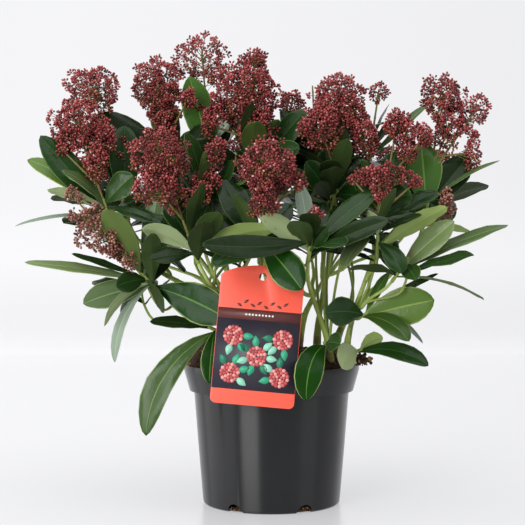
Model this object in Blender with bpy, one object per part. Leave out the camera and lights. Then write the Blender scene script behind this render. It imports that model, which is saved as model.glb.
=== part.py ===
"""Potted skimmia in bud: a shrub of many stems in a plastic nursery pot with a card label on its rim.

Metres, +Z up. The origin is the middle of the pot's flat underside, and the front is towards -Y.
Every stem starts at the soil. A side bough starts beside its stem, and each shoot (a short twig with
its leaves and its panicle of buds) starts just past the tip of its limb.
"""
import math
import random

import bmesh
import bpy
from mathutils import Matrix, Vector
from mathutils.bvhtree import BVHTree

MM = 0.001
GAP = 0.3 * MM
CLEAR = 0.7 * MM
GOLDEN = math.pi * (3.0 - math.sqrt(5.0))
UP = Vector((0.0, 0.0, 1.0))

# pot: radii and heights of its outer face, in millimetres
POT_SIDES = 32
PEAT_SIDES = 24
POT_TOP = 133.5
RIM_RADIUS = 85.0
LIP_RADIUS = 79.2
LIP_FOOT = 109.0
BODY_RADIUS = 75.0
FOOT_RADIUS = 66.3
WALL = 2.0
FLOOR = 2.5
FOOT_CURVE = 4.0
RIM_EDGE = 0.6
NOTCHES = 6
NOTCH_WIDTH = 17.0
NOTCH_HEIGHT = 8.0
NOTCH_TURN = -122.0
NOTCH_REACH = (58.0, 72.0)
NOTCH_SIDES = 10

# peat: how high it stands, how far it falls from left to right, and the clearance to the pot
PEAT_HEIGHT = 149.0
PEAT_FALL = 0.12
PEAT_EDGE = 130.0
PEAT_BUMP = 1.6
PEAT_WAVES = (9.0, 11.0)
PEAT_ROUND = 82.0
PEAT_STEEP = 14
PEAT_CLEAR = 0.6
PEAT_RINGS = (79.5, 74.0, 62.0, 42.0, 20.0)
SEAT_SINK = 1.5
SEAT_CLEAR = 1.2
SEAT_HEIGHT = 30.0

# card label: size, lean and the tongue that hooks over the rim
LABEL_WIDTH = 76.0
LABEL_HEIGHT = 116.0
LABEL_ARCH = 11.0
LABEL_CORNER = 5.0
LABEL_THICK = 0.8
LABEL_HOLE = 7.0
LABEL_PLACE = (-18.5, 103.0)
LABEL_TURN = 5.0
LABEL_LEAN = 5.5
LABEL_CLEAR = 0.4
TONGUE_PLACE = -8.0
TONGUE_WIDTH = 8.0
TONGUE_BACK = -79.0
TONGUE_DEPTH = 5.5

# limbs: thickness at the foot and at the tip, and the shape of their bend
STEM_RADIUS = 3.6
STEM_TIP = 2.1
BOUGH_RADIUS = 2.2
BOUGH_TIP = 1.7
STEM_FLARE = 1.3
PULL_AWAY = 0.40
PULL_HOME = 0.35
SEAT_STEP = 0.05
LIMB_SIDES = 6
LIMB_RINGS = 6
LEAFY_TWIG = 26.0
TWIG_SIDES = 4

# leaf: the share of its length where each station lies, its fold and its thickness
LEAF_STATIONS = (0.33, 0.70)
LEAF_FOLD = 0.07
LEAF_THICK = 0.012
STALK_RADIUS = 0.9
STALK_SET_OUT = 0.7
LEAF_BASE = 1.15
LEAF_BELLY = 0.75

# panicle: knobbly domes on one branching stalk; a dome wider than LARGE_TIER has more knobs
LARGE_TIER = 38.0
DOME_KNOBS = (0.94, 1.12)
DOME_KNOB_COUNT = 42
DOME_UNDERSIDE = 0.95
DOME_SHRINKS = (1.0, 0.9, 0.8, 0.7)
RACHIS_RADIUS = 1.5
RACHIS_STARTS = (0.12, 0.08)
HUB_DEPTH = 0.34

# seeds and tries of the rule that places leaves; a try is a turn and a lift in degrees
SEED = 17
LEAF_ZONE = (0.25, 0.65)
FILLER_ZONE = (0.20, 0.70)
FILLER_STEP = 0.37
FILLER_TRIES = 14
FILLER_RISE = (10, 58)
FILLER_DIP = 34
FILLER_LENGTH = (68, 92)
FILLER_WIDTH = (0.36, 0.44)
LEAF_TRIES = ((0, 0), (6, 0), (-6, 0), (0, 7), (0, -7), (12, 5), (-12, 5), (18, 0), (-18, 0),
              (12, -8), (-12, -8), (0, 14), (24, 8), (-24, 8))

# stems that rise from the peat: name, foot, and the shoot at the tip
STEMS = (
    ("stem_front", (55, -45), "front_right"),
    ("stem_left_low", (-38, -48), "left_low"),
    ("stem_left_front", (-26, -24), "front_left"),
    ("stem_left", (-44, 4), "left"),
    ("stem_mid_left", (-24, 26), "mid_left"),
    ("stem_centre", (2, -2), "top_mid"),
    ("stem_mid_right", (44, 0), "mid_right"),
    ("stem_right", (62, 22), "right_top"),
    ("stem_right_front", (70, -26), "right_mid"),
    ("stem_back_left", (-34, 54), "back_left"),
    ("stem_back_right", (28, 54), "back_right_low"),
)

# side boughs: name, the stem it leaves and how far up, and the shoot at the tip
BOUGHS = (
    ("bough_front_mid", "stem_front", 0.66, "front_mid"),
    ("bough_inner_left", "stem_left_front", 0.62, "inner_left"),
    ("bough_left_top", "stem_left", 0.55, "left_top"),
    ("bough_top", "stem_mid_left", 0.52, "top"),
    ("bough_back_top", "stem_centre", 0.50, "back_top"),
    ("bough_mid_back", "stem_mid_right", 0.50, "mid_back"),
    ("bough_back_right", "stem_right", 0.45, "back_right"),
    ("bough_right_low", "stem_right_front", 0.42, "right_low"),
    ("bough_right_front", "stem_right_front", 0.62, "right_front"),
    ("bough_left_back", "stem_back_left", 0.40, "left_back"),
    ("bough_back_mid_left", "stem_back_left", 0.55, "back_mid_left"),
    ("bough_back_mid_right", "stem_back_right", 0.40, "back_mid_right"),
    ("bough_right_back", "stem_back_right", 0.55, "right_back"),
)

# Shoots, all sizes in millimetres. whorl: where the leaves end and the panicle begins.
# tiers: each dome of the panicle, as x, y, z of its middle, its width and its height.
# leaves: x, y, z of the tip, width, droop in degrees, and how squarely its face is turned to the
# front: 1 shows all of its upper side, 0 its edge, and a minus its underside.
# fill: how many more leaves the rule adds round the twig.
SHOOTS = {
    "left_low": {
        "whorl": (-123, -50, 223),
        "tiers": ((-163, -55, 264, 54, 50), (-187, -50, 296, 18, 20), (-132, -68, 230, 20, 18)),
        "leaves": (
            (-40, -74, 180, 37, 14, 0.96), (-173, -64, 194, 29, 16, 0.85),
            (-143, -72, 141, 15, 62, 0.70), (-154, -70, 170, 14, 60, -0.60),
            (-229, -54, 232, 20, 8, 0.45), (-186, -50, 240, 15, 6, 0.40),
            (-141, -80, 210, 20, 20, 0.80), (-100, -62, 186, 16, 20, -0.60),
            (-140, -50, 184, 16, 10, 0.60), (-159, -30, 273, 24, 12, 0.90),
            (-108, -32, 300, 21, -8, 0.90),
        ),
        "fill": 0,
    },
    "front_right": {
        "whorl": (36, -80, 254),
        "tiers": ((39, -95, 275, 18, 22),),
        "leaves": (
            (104, -96, 270, 24, 10, 0.72), (-8, -100, 275, 20, 18, -0.85),
            (49, -92, 264, 16, 15, 0.80), (99, -66, 299, 24, 10, 0.72),
            (26, -62, 305, 17, 0, 0.90), (-61, -122, 248, 22, -14, 0.90),
        ),
        "fill": 0,
    },
    "front_mid": {
        "whorl": (-10, -72, 256),
        "tiers": ((-5, -100, 318, 52, 52), (-7, -108, 285, 34, 32), (25, -96, 304, 20, 24)),
        "leaves": (
            (-64, -58, 291, 30, 10, 0.90), (-47, -44, 309, 30, 10, 0.90),
            (17, -40, 286, 24, 15, 0.80), (26, -96, 208, 32, 12, 0.97),
        ),
        "fill": 2,
    },
    "front_left": {
        "whorl": (-77, -62, 257),
        "tiers": ((-103, -70, 330, 60, 50), (-104, -84, 298, 48, 32)),
        "leaves": (
            (-109, -84, 235, 19, 14, 0.70), (-117, -82, 263, 22, 22, -0.75),
            (3, -84, 262, 22, 18, -0.75), (-62, -50, 290, 22, 10, 0.80),
            (-97, -40, 286, 22, 10, 0.80), (-113, -50, 276, 20, 10, 0.60),
        ),
        "fill": 3,
    },
    "inner_left": {
        "whorl": (-60, -38, 286),
        "tiers": ((-53, -25, 338, 27, 32), (-65, -57, 295, 26, 30)),
        "leaves": (
            (-36, -24, 330, 20, 8, 0.70), (-86, -20, 327, 26, 10, 0.90),
            (-56, -8, 319, 26, 8, 0.90), (-21, -40, 311, 10, 20, 0.40),
        ),
        "fill": 4,
    },
    "left": {
        "whorl": (-160, -26, 291),
        "tiers": (
            (-188, -15, 366, 50, 48), (-199, -27, 339, 17, 22), (-165, -32, 326, 26, 44),
            (-156, -16, 351, 18, 40),
        ),
        "leaves": (
            (-242, -34, 266, 12, 30, 0.35), (-219, -28, 352, 30, -4, 0.90),
            (-236, -4, 331, 26, 30, 0.75), (-202, -36, 313, 20, 45, 0.55),
            (-210, -42, 300, 17, 16, -0.60), (-104, -48, 269, 22, 15, 0.50),
            (-131, -34, 314, 28, 12, 0.90),
        ),
        "fill": 2,
    },
    "left_top": {
        "whorl": (-148, 10, 302),
        "tiers": ((-178, 28, 404, 54, 46),),
        "leaves": (
            (-145, 22, 367, 32, 6, 0.95), (-170, 96, 352, 29, 22, 0.20),
            (-215, 64, 330, 28, 18, 0.30),
        ),
        "fill": 5,
    },
    "mid_left": {
        "whorl": (-98, 42, 340),
        "tiers": ((-116, 45, 411, 51, 58), (-107, 38, 370, 28, 38), (-82, 24, 394, 22, 28)),
        "leaves": (
            (-167, 30, 388, 38, 4, 0.90), (-118, 86, 408, 30, 4, 0.90),
            (-60, 30, 368, 28, 12, 0.80), (-126, 100, 366, 28, 20, 0.20),
        ),
        "fill": 5,
    },
    "top": {
        "whorl": (-62, 52, 348),
        "tiers": ((-70, 60, 439, 60, 54),),
        "leaves": (
            (-82, 40, 418, 33, 4, 0.97), (-36, 52, 388, 28, 4, 0.90),
            (-62, 116, 388, 28, 20, 0.20),
        ),
        "fill": 6,
    },
    "top_mid": {
        "whorl": (-20, 5, 328),
        "tiers": (
            (-24, 5, 396, 70, 66), (-16, 5, 431, 30, 24), (-12, -8, 356, 40, 36), (-62, -4, 366, 18, 36),
        ),
        "leaves": (
            (34, 12, 382, 30, 10, 0.85), (-78, 0, 350, 28, 14, 0.80),
            (26, -34, 340, 28, 16, 0.70), (-30, -60, 316, 28, 24, 0.60),
        ),
        "fill": 5,
    },
    "mid_right": {
        "whorl": (62, 0, 304),
        "tiers": ((65, 0, 390, 52, 57), (46, -22, 360, 44, 44), (90, -10, 351, 34, 44)),
        "leaves": (
            (62, 16, 348, 40, 4, 0.97), (33, -20, 328, 24, 8, 0.90),
            (91, -6, 333, 24, 12, 0.85), (83, -40, 294, 24, 14, 0.70),
            (10, -30, 318, 26, 12, 0.60),
        ),
        "fill": 4,
    },
    "mid_back": {
        "whorl": (46, 68, 346),
        "tiers": ((43, 80, 415, 44, 46),),
        "leaves": ((10, 66, 388, 28, 10, 0.80), (84, 60, 388, 26, 10, 0.80)),
        "fill": 6,
    },
    "right_mid": {
        "whorl": (108, -15, 290),
        "tiers": ((121, -5, 366, 40, 44), (130, -16, 336, 27, 28), (146, -22, 352, 20, 30)),
        "leaves": (
            (159, -22, 299, 22, 10, 0.70), (76, -30, 312, 22, 10, 0.80),
            (129, 0, 324, 24, 8, 0.90), (120, -62, 290, 24, 30, 0.40),
        ),
        "fill": 4,
    },
    "right_top": {
        "whorl": (153, 2, 298),
        "tiers": (
            (168, 24, 400, 42, 42), (200, 10, 381, 36, 42), (172, 4, 360, 38, 46), (195, 0, 339, 23, 48),
        ),
        "leaves": (
            (147, 14, 350, 38, 4, 0.98), (187, 10, 341, 31, 4, 0.96),
            (220, -8, 330, 11, 28, 0.35), (173, -16, 273, 28, 20, 0.90),
            (196, 58, 338, 27, 20, 0.20),
        ),
        "fill": 4,
    },
    "right_low": {
        "whorl": (128, -42, 236),
        "tiers": ((163, -45, 286, 21, 38),),
        "leaves": (
            (222, -38, 267, 23, 16, 0.45), (169, -52, 270, 26, 6, 0.85),
            (130, -84, 216, 18, 30, 0.80), (152, 10, 262, 26, 18, 0.30),
        ),
        "fill": 1,
    },
    "right_front": {
        "whorl": (98, -58, 262),
        "tiers": (
            (99, -62, 314, 30, 25), (101, -70, 291, 20, 16), (133, -54, 306, 18, 18), (76, -42, 310, 17, 16),
        ),
        "leaves": (
            (161, -66, 282, 22, 14, -0.75), (151, -40, 279, 20, 10, -0.60),
            (118, -74, 222, 21, 40, 0.85), (89, -70, 279, 14, 30, -0.60),
            (65, -70, 264, 14, 10, 0.60),
        ),
        "fill": 3,
    },
    "back_right": {
        "whorl": (104, 86, 354),
        "tiers": ((113, 95, 410, 28, 30),),
        "leaves": ((164, 84, 398, 17, 4, 0.50), (100, 150, 398, 28, 20, 0.10)),
        "fill": 6,
    },
    "back_top": {
        "whorl": (6, 66, 336),
        "tiers": ((22, 78, 396, 34, 36),),
        "leaves": ((6, 132, 372, 28, 20, 0.10),),
        "fill": 7,
    },
    "back_left": {
        "whorl": (-106, 106, 302),
        "tiers": ((-124, 130, 356, 52, 44),),
        "leaves": (),
        "fill": 9,
    },
    "left_back": {
        "whorl": (-158, 66, 276),
        "tiers": ((-186, 80, 322, 46, 40),),
        "leaves": (),
        "fill": 9,
    },
    "back_mid_left": {
        "whorl": (-42, 134, 300),
        "tiers": ((-46, 160, 350, 50, 44),),
        "leaves": (),
        "fill": 9,
    },
    "back_mid_right": {
        "whorl": (40, 140, 294),
        "tiers": ((44, 170, 342, 50, 44),),
        "leaves": (),
        "fill": 9,
    },
    "back_right_low": {
        "whorl": (106, 126, 296),
        "tiers": ((124, 152, 342, 46, 42),),
        "leaves": (),
        "fill": 9,
    },
    "right_back": {
        "whorl": (150, 66, 284),
        "tiers": ((176, 84, 330, 44, 40),),
        "leaves": (),
        "fill": 9,
    },
}

# Sprouts: low twigs of leaves with no panicle, beside a stem at a share of its height.
SPROUTS = {
    "sprout_left": {
        "stem": "stem_left_low", "share": 0.22, "heading": 200, "rise": 25, "length": 14,
        "leaves": (
            (-115, -66, 73, 27, 66, 0.95), (-57, -80, 123, 18, 40, 0.95),
            (-113, -50, 177, 18, 14, 0.60),
        ),
    },
    "sprout_front": {
        "stem": "stem_front", "share": 0.16, "heading": -110, "rise": 30, "length": 11,
        "leaves": ((31, -91, 108, 27, 100, 0.97), (62, -70, 157, 20, 40, 0.60)),
    },
    "sprout_right": {
        "stem": "stem_right_front", "share": 0.34, "heading": -20, "rise": 30, "length": 12,
        "leaves": (
            (149, -44, 205, 37, 4, 0.98), (126, -60, 159, 22, 56, 0.70),
            (140, -46, 155, 11, 66, 0.60), (50, -58, 185, 28, 24, 0.90),
            (111, -24, 222, 13, 8, 0.70), (159, -20, 221, 12, 14, 0.50),
        ),
    },
    "sprout_right_low": {
        "stem": "stem_right_front", "share": 0.10, "heading": -15, "rise": 30, "length": 11,
        "leaves": (
            (146, -44, 135, 22, 54, 0.72), (63, -84, 136, 24, 50, -0.90),
            (105, -30, 160, 20, 40, -0.80),
        ),
    },
}


def material(name, colour, roughness, metallic=0.0):
    """One plain Principled material for each kind of surface."""
    mat = bpy.data.materials.get(name) or bpy.data.materials.new(name)
    mat.use_nodes = True
    shader = mat.node_tree.nodes["Principled BSDF"]
    shader.inputs["Base Color"].default_value = (*colour, 1.0)
    shader.inputs["Roughness"].default_value = roughness
    shader.inputs["Metallic"].default_value = metallic
    return mat


def make_object(name, solid, mat=None):
    """An object from a solid, which is a pair of points and faces."""
    mesh = bpy.data.meshes.new(name)
    mesh.from_pydata(solid[0], [], solid[1])
    if mat:
        mesh.materials.append(mat)
    obj = bpy.data.objects.new(name, mesh)
    bpy.context.scene.collection.objects.link(obj)
    return obj


def shade_round(obj, angle=40.0):
    obj.data.shade_smooth()
    obj.data.set_sharp_from_angle(angle=math.radians(angle))


def apply_boolean(obj, others, operation, solver="EXACT"):
    """Cut or join a list of objects with obj, then remove them."""
    group = bpy.data.collections.new(obj.name + "_tools")
    bpy.context.scene.collection.children.link(group)
    for other in others:
        group.objects.link(other)
        bpy.context.scene.collection.objects.unlink(other)
    modifier = obj.modifiers.new("joined", "BOOLEAN")
    modifier.operation = operation
    modifier.operand_type = "COLLECTION"
    modifier.collection = group
    modifier.solver = solver
    graph = bpy.context.evaluated_depsgraph_get()
    result = bpy.data.meshes.new_from_object(obj.evaluated_get(graph))
    obj.modifiers.clear()
    obj.data = result
    for other in others:
        bpy.data.objects.remove(other)
    bpy.data.collections.remove(group)


def keep_main_body(obj):
    """Triangulate, and drop loose scraps and the walls of sealed hollows."""
    bm = bmesh.new()
    bm.from_mesh(obj.data)
    bmesh.ops.triangulate(bm, faces=bm.faces)
    left = set(bm.faces)
    bodies = []
    while left:
        body = []
        edge = [left.pop()]
        while edge:
            face = edge.pop()
            body.append(face)
            for side in face.edges:
                for other in side.link_faces:
                    if other in left:
                        left.remove(other)
                        edge.append(other)
        bodies.append(body)
    bodies.sort(key=len)
    bmesh.ops.delete(bm, geom=[face for body in bodies[:-1] for face in body], context="FACES")
    bm.to_mesh(obj.data)
    bm.free()


def lathe(profile, sides):
    """A turned solid from (radius, height) pairs that start and end on the axis."""
    points = [(0.0, 0.0, profile[0][1] * MM)]
    for radius, height in profile[1:-1]:
        for i in range(sides):
            turn = math.tau * i / sides
            points.append((radius * MM * math.cos(turn), radius * MM * math.sin(turn), height * MM))
    points.append((0.0, 0.0, profile[-1][1] * MM))
    return points, ring_faces(len(profile) - 2, sides)


def ring_faces(rings, sides):
    """Faces of rings of points between one first and one last point."""
    faces = []
    last = 1 + rings * sides
    for i in range(sides):
        j = (i + 1) % sides
        faces.append((0, 1 + j, 1 + i))
        for ring in range(rings - 1):
            low = 1 + ring * sides
            faces.append((low + i, low + j, low + sides + j, low + sides + i))
        top = 1 + (rings - 1) * sides
        faces.append((top + i, top + j, last))
    return faces


def box(low, high):
    """A box between two corners in millimetres."""
    (x0, y0, z0), (x1, y1, z1) = low, high
    points = [Vector((x, y, z)) * MM for z in (z0, z1) for y in (y0, y1) for x in (x0, x1)]
    faces = [(0, 2, 3, 1), (4, 5, 7, 6), (0, 1, 5, 4), (2, 6, 7, 3), (0, 4, 6, 2), (1, 3, 7, 5)]
    return points, faces


def tube(path, radii, sides, ways=None):
    """A tube with flat ends along a list of points; ways gives the directions that its ends face."""
    points = []
    count = len(path)
    steps = [(path[min(i + 1, count - 1)] - path[max(i - 1, 0)]).normalized() for i in range(count)]
    if ways:
        steps[0], steps[-1] = ways
    across = steps[0].orthogonal().normalized()
    for i, ahead in enumerate(steps):
        across = (across - ahead * across.dot(ahead)).normalized()
        other = ahead.cross(across)
        for k in range(sides):
            turn = math.tau * k / sides
            points.append(path[i] + (across * math.cos(turn) + other * math.sin(turn)) * radii[i])
    faces = [tuple(reversed(range(sides)))]
    for i in range(count - 1):
        for k in range(sides):
            a = i * sides + k
            b = i * sides + (k + 1) % sides
            faces.append((a, b, b + sides, a + sides))
    faces.append(tuple(range((count - 1) * sides, count * sides)))
    return points, faces


def heading_vector(heading, rise):
    heading, rise = math.radians(heading), math.radians(rise)
    return Vector((math.cos(rise) * math.cos(heading), math.cos(rise) * math.sin(heading), math.sin(rise)))


def leaf_width(t):
    """Share of the full width at a share t of the length: wedge-shaped foot, widest past the middle."""
    return math.sin(math.pi * t ** LEAF_BASE) ** LEAF_BELLY


def leaf_frame(root, leaf, t):
    """Point, side and face directions of a leaf at a share t of its length."""
    heading, rise, length, _, droop, roll = leaf
    heading, rise, roll = math.radians(heading), math.radians(rise), math.radians(roll)
    bend = math.radians(droop) or 0.001
    now = rise - bend * t
    along = length * (math.sin(rise) - math.sin(now)) / bend
    height = length * (math.cos(now) - math.cos(rise)) / bend
    flat = Vector((math.cos(heading), math.sin(heading), 0.0))
    side = Vector((math.sin(heading), -math.cos(heading), 0.0))
    face = side.cross(flat * math.cos(now) + UP * math.sin(now))
    point = root + (flat * along + UP * height) * MM
    cos, sin = math.cos(roll), math.sin(roll)
    return point, side * cos - face * sin, face * cos + side * sin


def leaf_to_tip(root, x, y, z, width, droop, show):
    """The leaf from a root to a tip in millimetres, rolled until its face shows that much to the front."""
    chord = Vector((x, y, z)) - root / MM
    heading = math.atan2(chord.y, chord.x)
    slope = math.asin(chord.z / chord.length)
    half_bend = math.radians(0.5 * droop) or 0.001
    length = chord.length * half_bend / math.sin(half_bend)
    across, ahead = math.cos(heading), math.sin(slope) * math.sin(heading)
    turn = math.acos(max(-1.0, min(1.0, show / math.hypot(across, ahead))))
    level = math.atan2(across, ahead)
    roll = min((math.remainder(level + way * turn, math.tau) for way in (1, -1)), key=abs)
    return (math.degrees(heading), math.degrees(slope + half_bend), length, width, droop, math.degrees(roll))


def leaf_solid(root, leaf, grow=0.0, whole=True):
    """A three-sided blade with a keel along its midrib; grow thickens it for clearance."""
    length, width = leaf[2], leaf[3]
    root = root + heading_vector(leaf[0], leaf[1]) * STALK_SET_OUT * MM
    points = []
    stations = (0.0, *LEAF_STATIONS) if whole else LEAF_STATIONS
    for t in stations:
        point, side, face = leaf_frame(root, leaf, t)
        half = (0.5 * width * leaf_width(t) if t else STALK_RADIUS) * MM + grow
        keel = (LEAF_THICK * length if t else STALK_RADIUS) * MM + grow
        raised = face * (half * LEAF_FOLD + 0.5 * grow)
        points += [point - side * half + raised, point - face * keel, point + side * half + raised]
    tip, _, _ = leaf_frame(root, leaf, 1.0)
    points.append(tip)
    faces = [(0, 1, 2)]
    last = len(points) - 4
    for low in range(0, last, 3):
        for a, b in ((1, 0), (2, 1), (0, 2)):
            faces += [(low + a, low + b, low + 3 + b), (low + a, low + 3 + b, low + 3 + a)]
    for a, b in ((1, 0), (2, 1), (0, 2)):
        faces.append((last + a, last + b, last + 3))
    return points, faces


def dome_solid(middle, width, height, knobs, grow=0.0):
    """A dense dome of buds: a knobbly ball with a flattened underside."""
    bm = bmesh.new()
    bmesh.ops.create_icosphere(bm, subdivisions=2 if width > LARGE_TIER else 1, radius=1.0)
    points = []
    for vertex in bm.verts:
        x, y, z = vertex.co * knobs[vertex.index % len(knobs)]
        z *= DOME_UNDERSIDE if z < 0.0 else 1.0
        points.append(middle + Vector((x * width, y * width, z * height)) * 0.5 * MM
                      + vertex.co.normalized() * grow)
    faces = [tuple(vertex.index for vertex in face.verts) for face in bm.faces]
    bm.free()
    return points, faces


def corners(points):
    low = [min(point[i] for point in points) for i in range(3)]
    high = [max(point[i] for point in points) for i in range(3)]
    return low, high


def is_inside(point, tree):
    """True where a line up from the point crosses the solid's surface an odd number of times."""
    crossings = 0
    start = Vector(point)
    while True:
        hit = tree.ray_cast(start, UP)[0]
        if hit is None:
            return crossings % 2 == 1
        crossings += 1
        start = hit + UP * 1e-5


class Space:
    """The places that are taken, each with the name of the node that holds it."""

    def __init__(self):
        self.taken = []

    def add(self, owner, solid):
        low, high = corners(solid[0])
        self.taken.append((owner, low, high, BVHTree.FromPolygons(*solid), solid[0][0]))

    def is_free(self, owner, solid):
        low, high = corners(solid[0])
        tree = None
        for name, other_low, other_high, other, spot in self.taken:
            if name == owner or any(low[i] > other_high[i] or high[i] < other_low[i] for i in range(3)):
                continue
            tree = tree or BVHTree.FromPolygons(*solid)
            if tree.overlap(other) or is_inside(solid[0][0], other) or is_inside(spot, tree):
                return False
        return True


def peat_height(x, y):
    """Height of the peat at a place, in millimetres: a root ball proud of the rim, higher on the left."""
    radius = math.hypot(x, y)
    top = PEAT_HEIGHT - PEAT_FALL * x
    top += PEAT_BUMP * math.sin(x / PEAT_WAVES[0] + 1.0) * math.cos(y / PEAT_WAVES[1] + 0.5)
    return top - (top - PEAT_EDGE) * (radius / PEAT_ROUND) ** PEAT_STEEP


def build_pot(mat):
    """Hollow pot with a stepped lip, a flat underside and notches cut in its foot for drainage."""
    rim_in = RIM_RADIUS - WALL
    profile = [
        (0.0, 0.0), (FOOT_RADIUS - FOOT_CURVE, 0.0), (FOOT_RADIUS - 0.3 * FOOT_CURVE, 0.3 * FOOT_CURVE),
        (FOOT_RADIUS, FOOT_CURVE), (BODY_RADIUS, LIP_FOOT - 0.3), (LIP_RADIUS, LIP_FOOT),
        (RIM_RADIUS, POT_TOP - 2 * RIM_EDGE), (RIM_RADIUS - RIM_EDGE, POT_TOP), (rim_in, POT_TOP),
        (rim_in - RIM_EDGE, POT_TOP - 2.0), (LIP_RADIUS - WALL, LIP_FOOT + WALL),
        (BODY_RADIUS - WALL, LIP_FOOT + WALL - 0.3), (FOOT_RADIUS - WALL, FLOOR + 2.0),
        (FOOT_RADIUS - WALL - 1.3, FLOOR), (0.0, FLOOR),
    ]
    pot = make_object("pot", lathe(profile, POT_SIDES), mat)
    cutters = []
    for i in range(NOTCHES):
        turn = math.radians(NOTCH_TURN + 360.0 * i / NOTCHES)
        out = Vector((math.cos(turn), math.sin(turn), 0.0))
        side = UP.cross(out)
        arch = [out * reach * MM for reach in NOTCH_REACH]
        points, faces = tube(arch, [1.0, 1.0], NOTCH_SIDES)
        for k, point in enumerate(points):
            foot = arch[k // NOTCH_SIDES]
            wide, high = (point - foot).dot(side), (point - foot).z
            points[k] = foot + side * wide * NOTCH_WIDTH * 0.5 * MM + UP * high * NOTCH_HEIGHT * MM
        cutters.append(make_object("notch", (points, faces)))
    apply_boolean(pot, cutters, "DIFFERENCE")
    keep_main_body(pot)
    shade_round(pot)
    return pot


def build_peat(mat, feet):
    """Root ball that fills the pot, with a flat seat under each stem and a slot for the label's tongue."""
    inner = [
        (0.0, FLOOR + PEAT_CLEAR), (FOOT_RADIUS - WALL - 2.2, FLOOR + PEAT_CLEAR),
        (FOOT_RADIUS - WALL - PEAT_CLEAR, FLOOR + 2.6), (BODY_RADIUS - WALL - PEAT_CLEAR, LIP_FOOT + WALL),
        (LIP_RADIUS - WALL - PEAT_CLEAR, LIP_FOOT + WALL + PEAT_CLEAR),
        (RIM_RADIUS - WALL - 1.0 - PEAT_CLEAR, PEAT_EDGE),
    ]
    rings = inner + [(radius, None) for radius in PEAT_RINGS] + [(0.0, None)]
    points, faces = lathe([(r, z if z is not None else 0.0) for r, z in rings], PEAT_SIDES)
    first_top = 1 + (len(inner) - 1) * PEAT_SIDES
    for i in range(first_top, len(points)):
        x, y, _ = points[i]
        points[i] = (x, y, peat_height(x / MM, y / MM) * MM)
    peat = make_object("peat", (points, faces), mat)
    cutters = []
    for foot, radius in feet:
        seat = [foot - UP * GAP, foot + UP * SEAT_HEIGHT * MM]
        cutters.append(make_object("seat", tube(seat, [radius + SEAT_CLEAR * MM] * 2, LIMB_SIDES)))
    wide = 0.5 * TONGUE_WIDTH + 1.0
    slot_low = (TONGUE_PLACE - wide, -RIM_RADIUS, POT_TOP - TONGUE_DEPTH - 1.0)
    slot = box(slot_low, (TONGUE_PLACE + wide, TONGUE_BACK + 1.0, POT_TOP + SEAT_HEIGHT))
    cutters.append(make_object("slot", slot))
    apply_boolean(peat, cutters, "DIFFERENCE")
    keep_main_body(peat)
    shade_round(peat, 60.0)
    return peat


def build_label(mat):
    """Card with an arched top and a punched hole, and a tongue that hooks over the pot's rim."""
    half, corner = 0.5 * LABEL_WIDTH, LABEL_CORNER
    outline = []
    for middle, start in (((half - corner, corner), -90), ((-half + corner, corner), 180)):
        steps = [start + 30 * k for k in range(4)]
        for step in steps:
            turn = math.radians(step)
            outline.append((middle[0] + corner * math.cos(turn), middle[1] + corner * math.sin(turn)))
        if start == -90:
            for k in range(9):
                share = k / 8
                rise = LABEL_ARCH * math.sin(math.pi * share) ** 0.7
                outline.append((half - LABEL_WIDTH * share, LABEL_HEIGHT + rise))
    place = Matrix.Translation((LABEL_PLACE[0] * MM, 0.0, LABEL_PLACE[1] * MM))
    turn = Matrix.Rotation(math.radians(LABEL_TURN), 4, "Y")
    lean = Matrix.Rotation(math.radians(-LABEL_LEAN), 4, "X")
    rim_front = -RIM_RADIUS - LABEL_CLEAR
    swing = (POT_TOP - LABEL_PLACE[1]) * math.tan(math.radians(LABEL_LEAN))
    back = Matrix.Translation((0.0, (rim_front - swing) * MM, 0.0))
    pose = back @ place @ lean @ turn
    count = len(outline)
    points = [pose @ Vector((x * MM, y * MM, z * MM)) for y in (-LABEL_THICK, 0.0) for x, z in outline]
    faces = [tuple(range(count)), tuple(reversed(range(count, 2 * count)))]
    for i in range(count):
        j = (i + 1) % count
        faces.append((i, i + count, j + count, j))
    label = make_object("label", (points, faces), mat)
    hole = [pose @ Vector((0.0, y * MM, (LABEL_HEIGHT + 1.0) * MM)) for y in (5.0, -5.0)]
    apply_boolean(label, [make_object("hole", tube(hole, [0.5 * LABEL_HOLE * MM] * 2, 10))], "DIFFERENCE")
    left, right = TONGUE_PLACE - 0.5 * TONGUE_WIDTH, TONGUE_PLACE + 0.5 * TONGUE_WIDTH
    over = POT_TOP + LABEL_CLEAR
    bridge = box((left, rim_front - 0.5 * LABEL_THICK, over), (right, TONGUE_BACK, over + LABEL_THICK))
    inside = TONGUE_BACK - LABEL_THICK
    drop = box((left, inside, POT_TOP - TONGUE_DEPTH), (right, TONGUE_BACK, over + 0.5 * LABEL_THICK))
    parts = [make_object("bridge", bridge), make_object("drop", drop)]
    apply_boolean(label, parts, "UNION")
    keep_main_body(label)
    return label


def bend(start, start_way, end, end_way, count):
    """Points along a smooth limb that leaves and arrives in given directions."""
    reach = (end - start).length
    first = start + start_way * PULL_AWAY * reach
    second = end - end_way * PULL_HOME * reach
    path = []
    for i in range(count):
        t = i / (count - 1)
        s = 1.0 - t
        path.append(start * s ** 3 + first * 3 * s * s * t + second * 3 * s * t * t + end * t ** 3)
    return path


def along(path, share):
    """Point and direction at a share of a path."""
    place = share * (len(path) - 1)
    i = min(int(place), len(path) - 2)
    step = path[i + 1] - path[i]
    return path[i] + step * (place - i), step.normalized()


def shoot_way(shoot):
    """Direction of the leafy twig: towards the middle of the panicle's first dome."""
    return (Vector(shoot["tiers"][0][:3]) - Vector(shoot["whorl"])).normalized()


def taper(first, last, count):
    return [(first + (last - first) * i / (count - 1)) * MM for i in range(count)]


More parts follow.
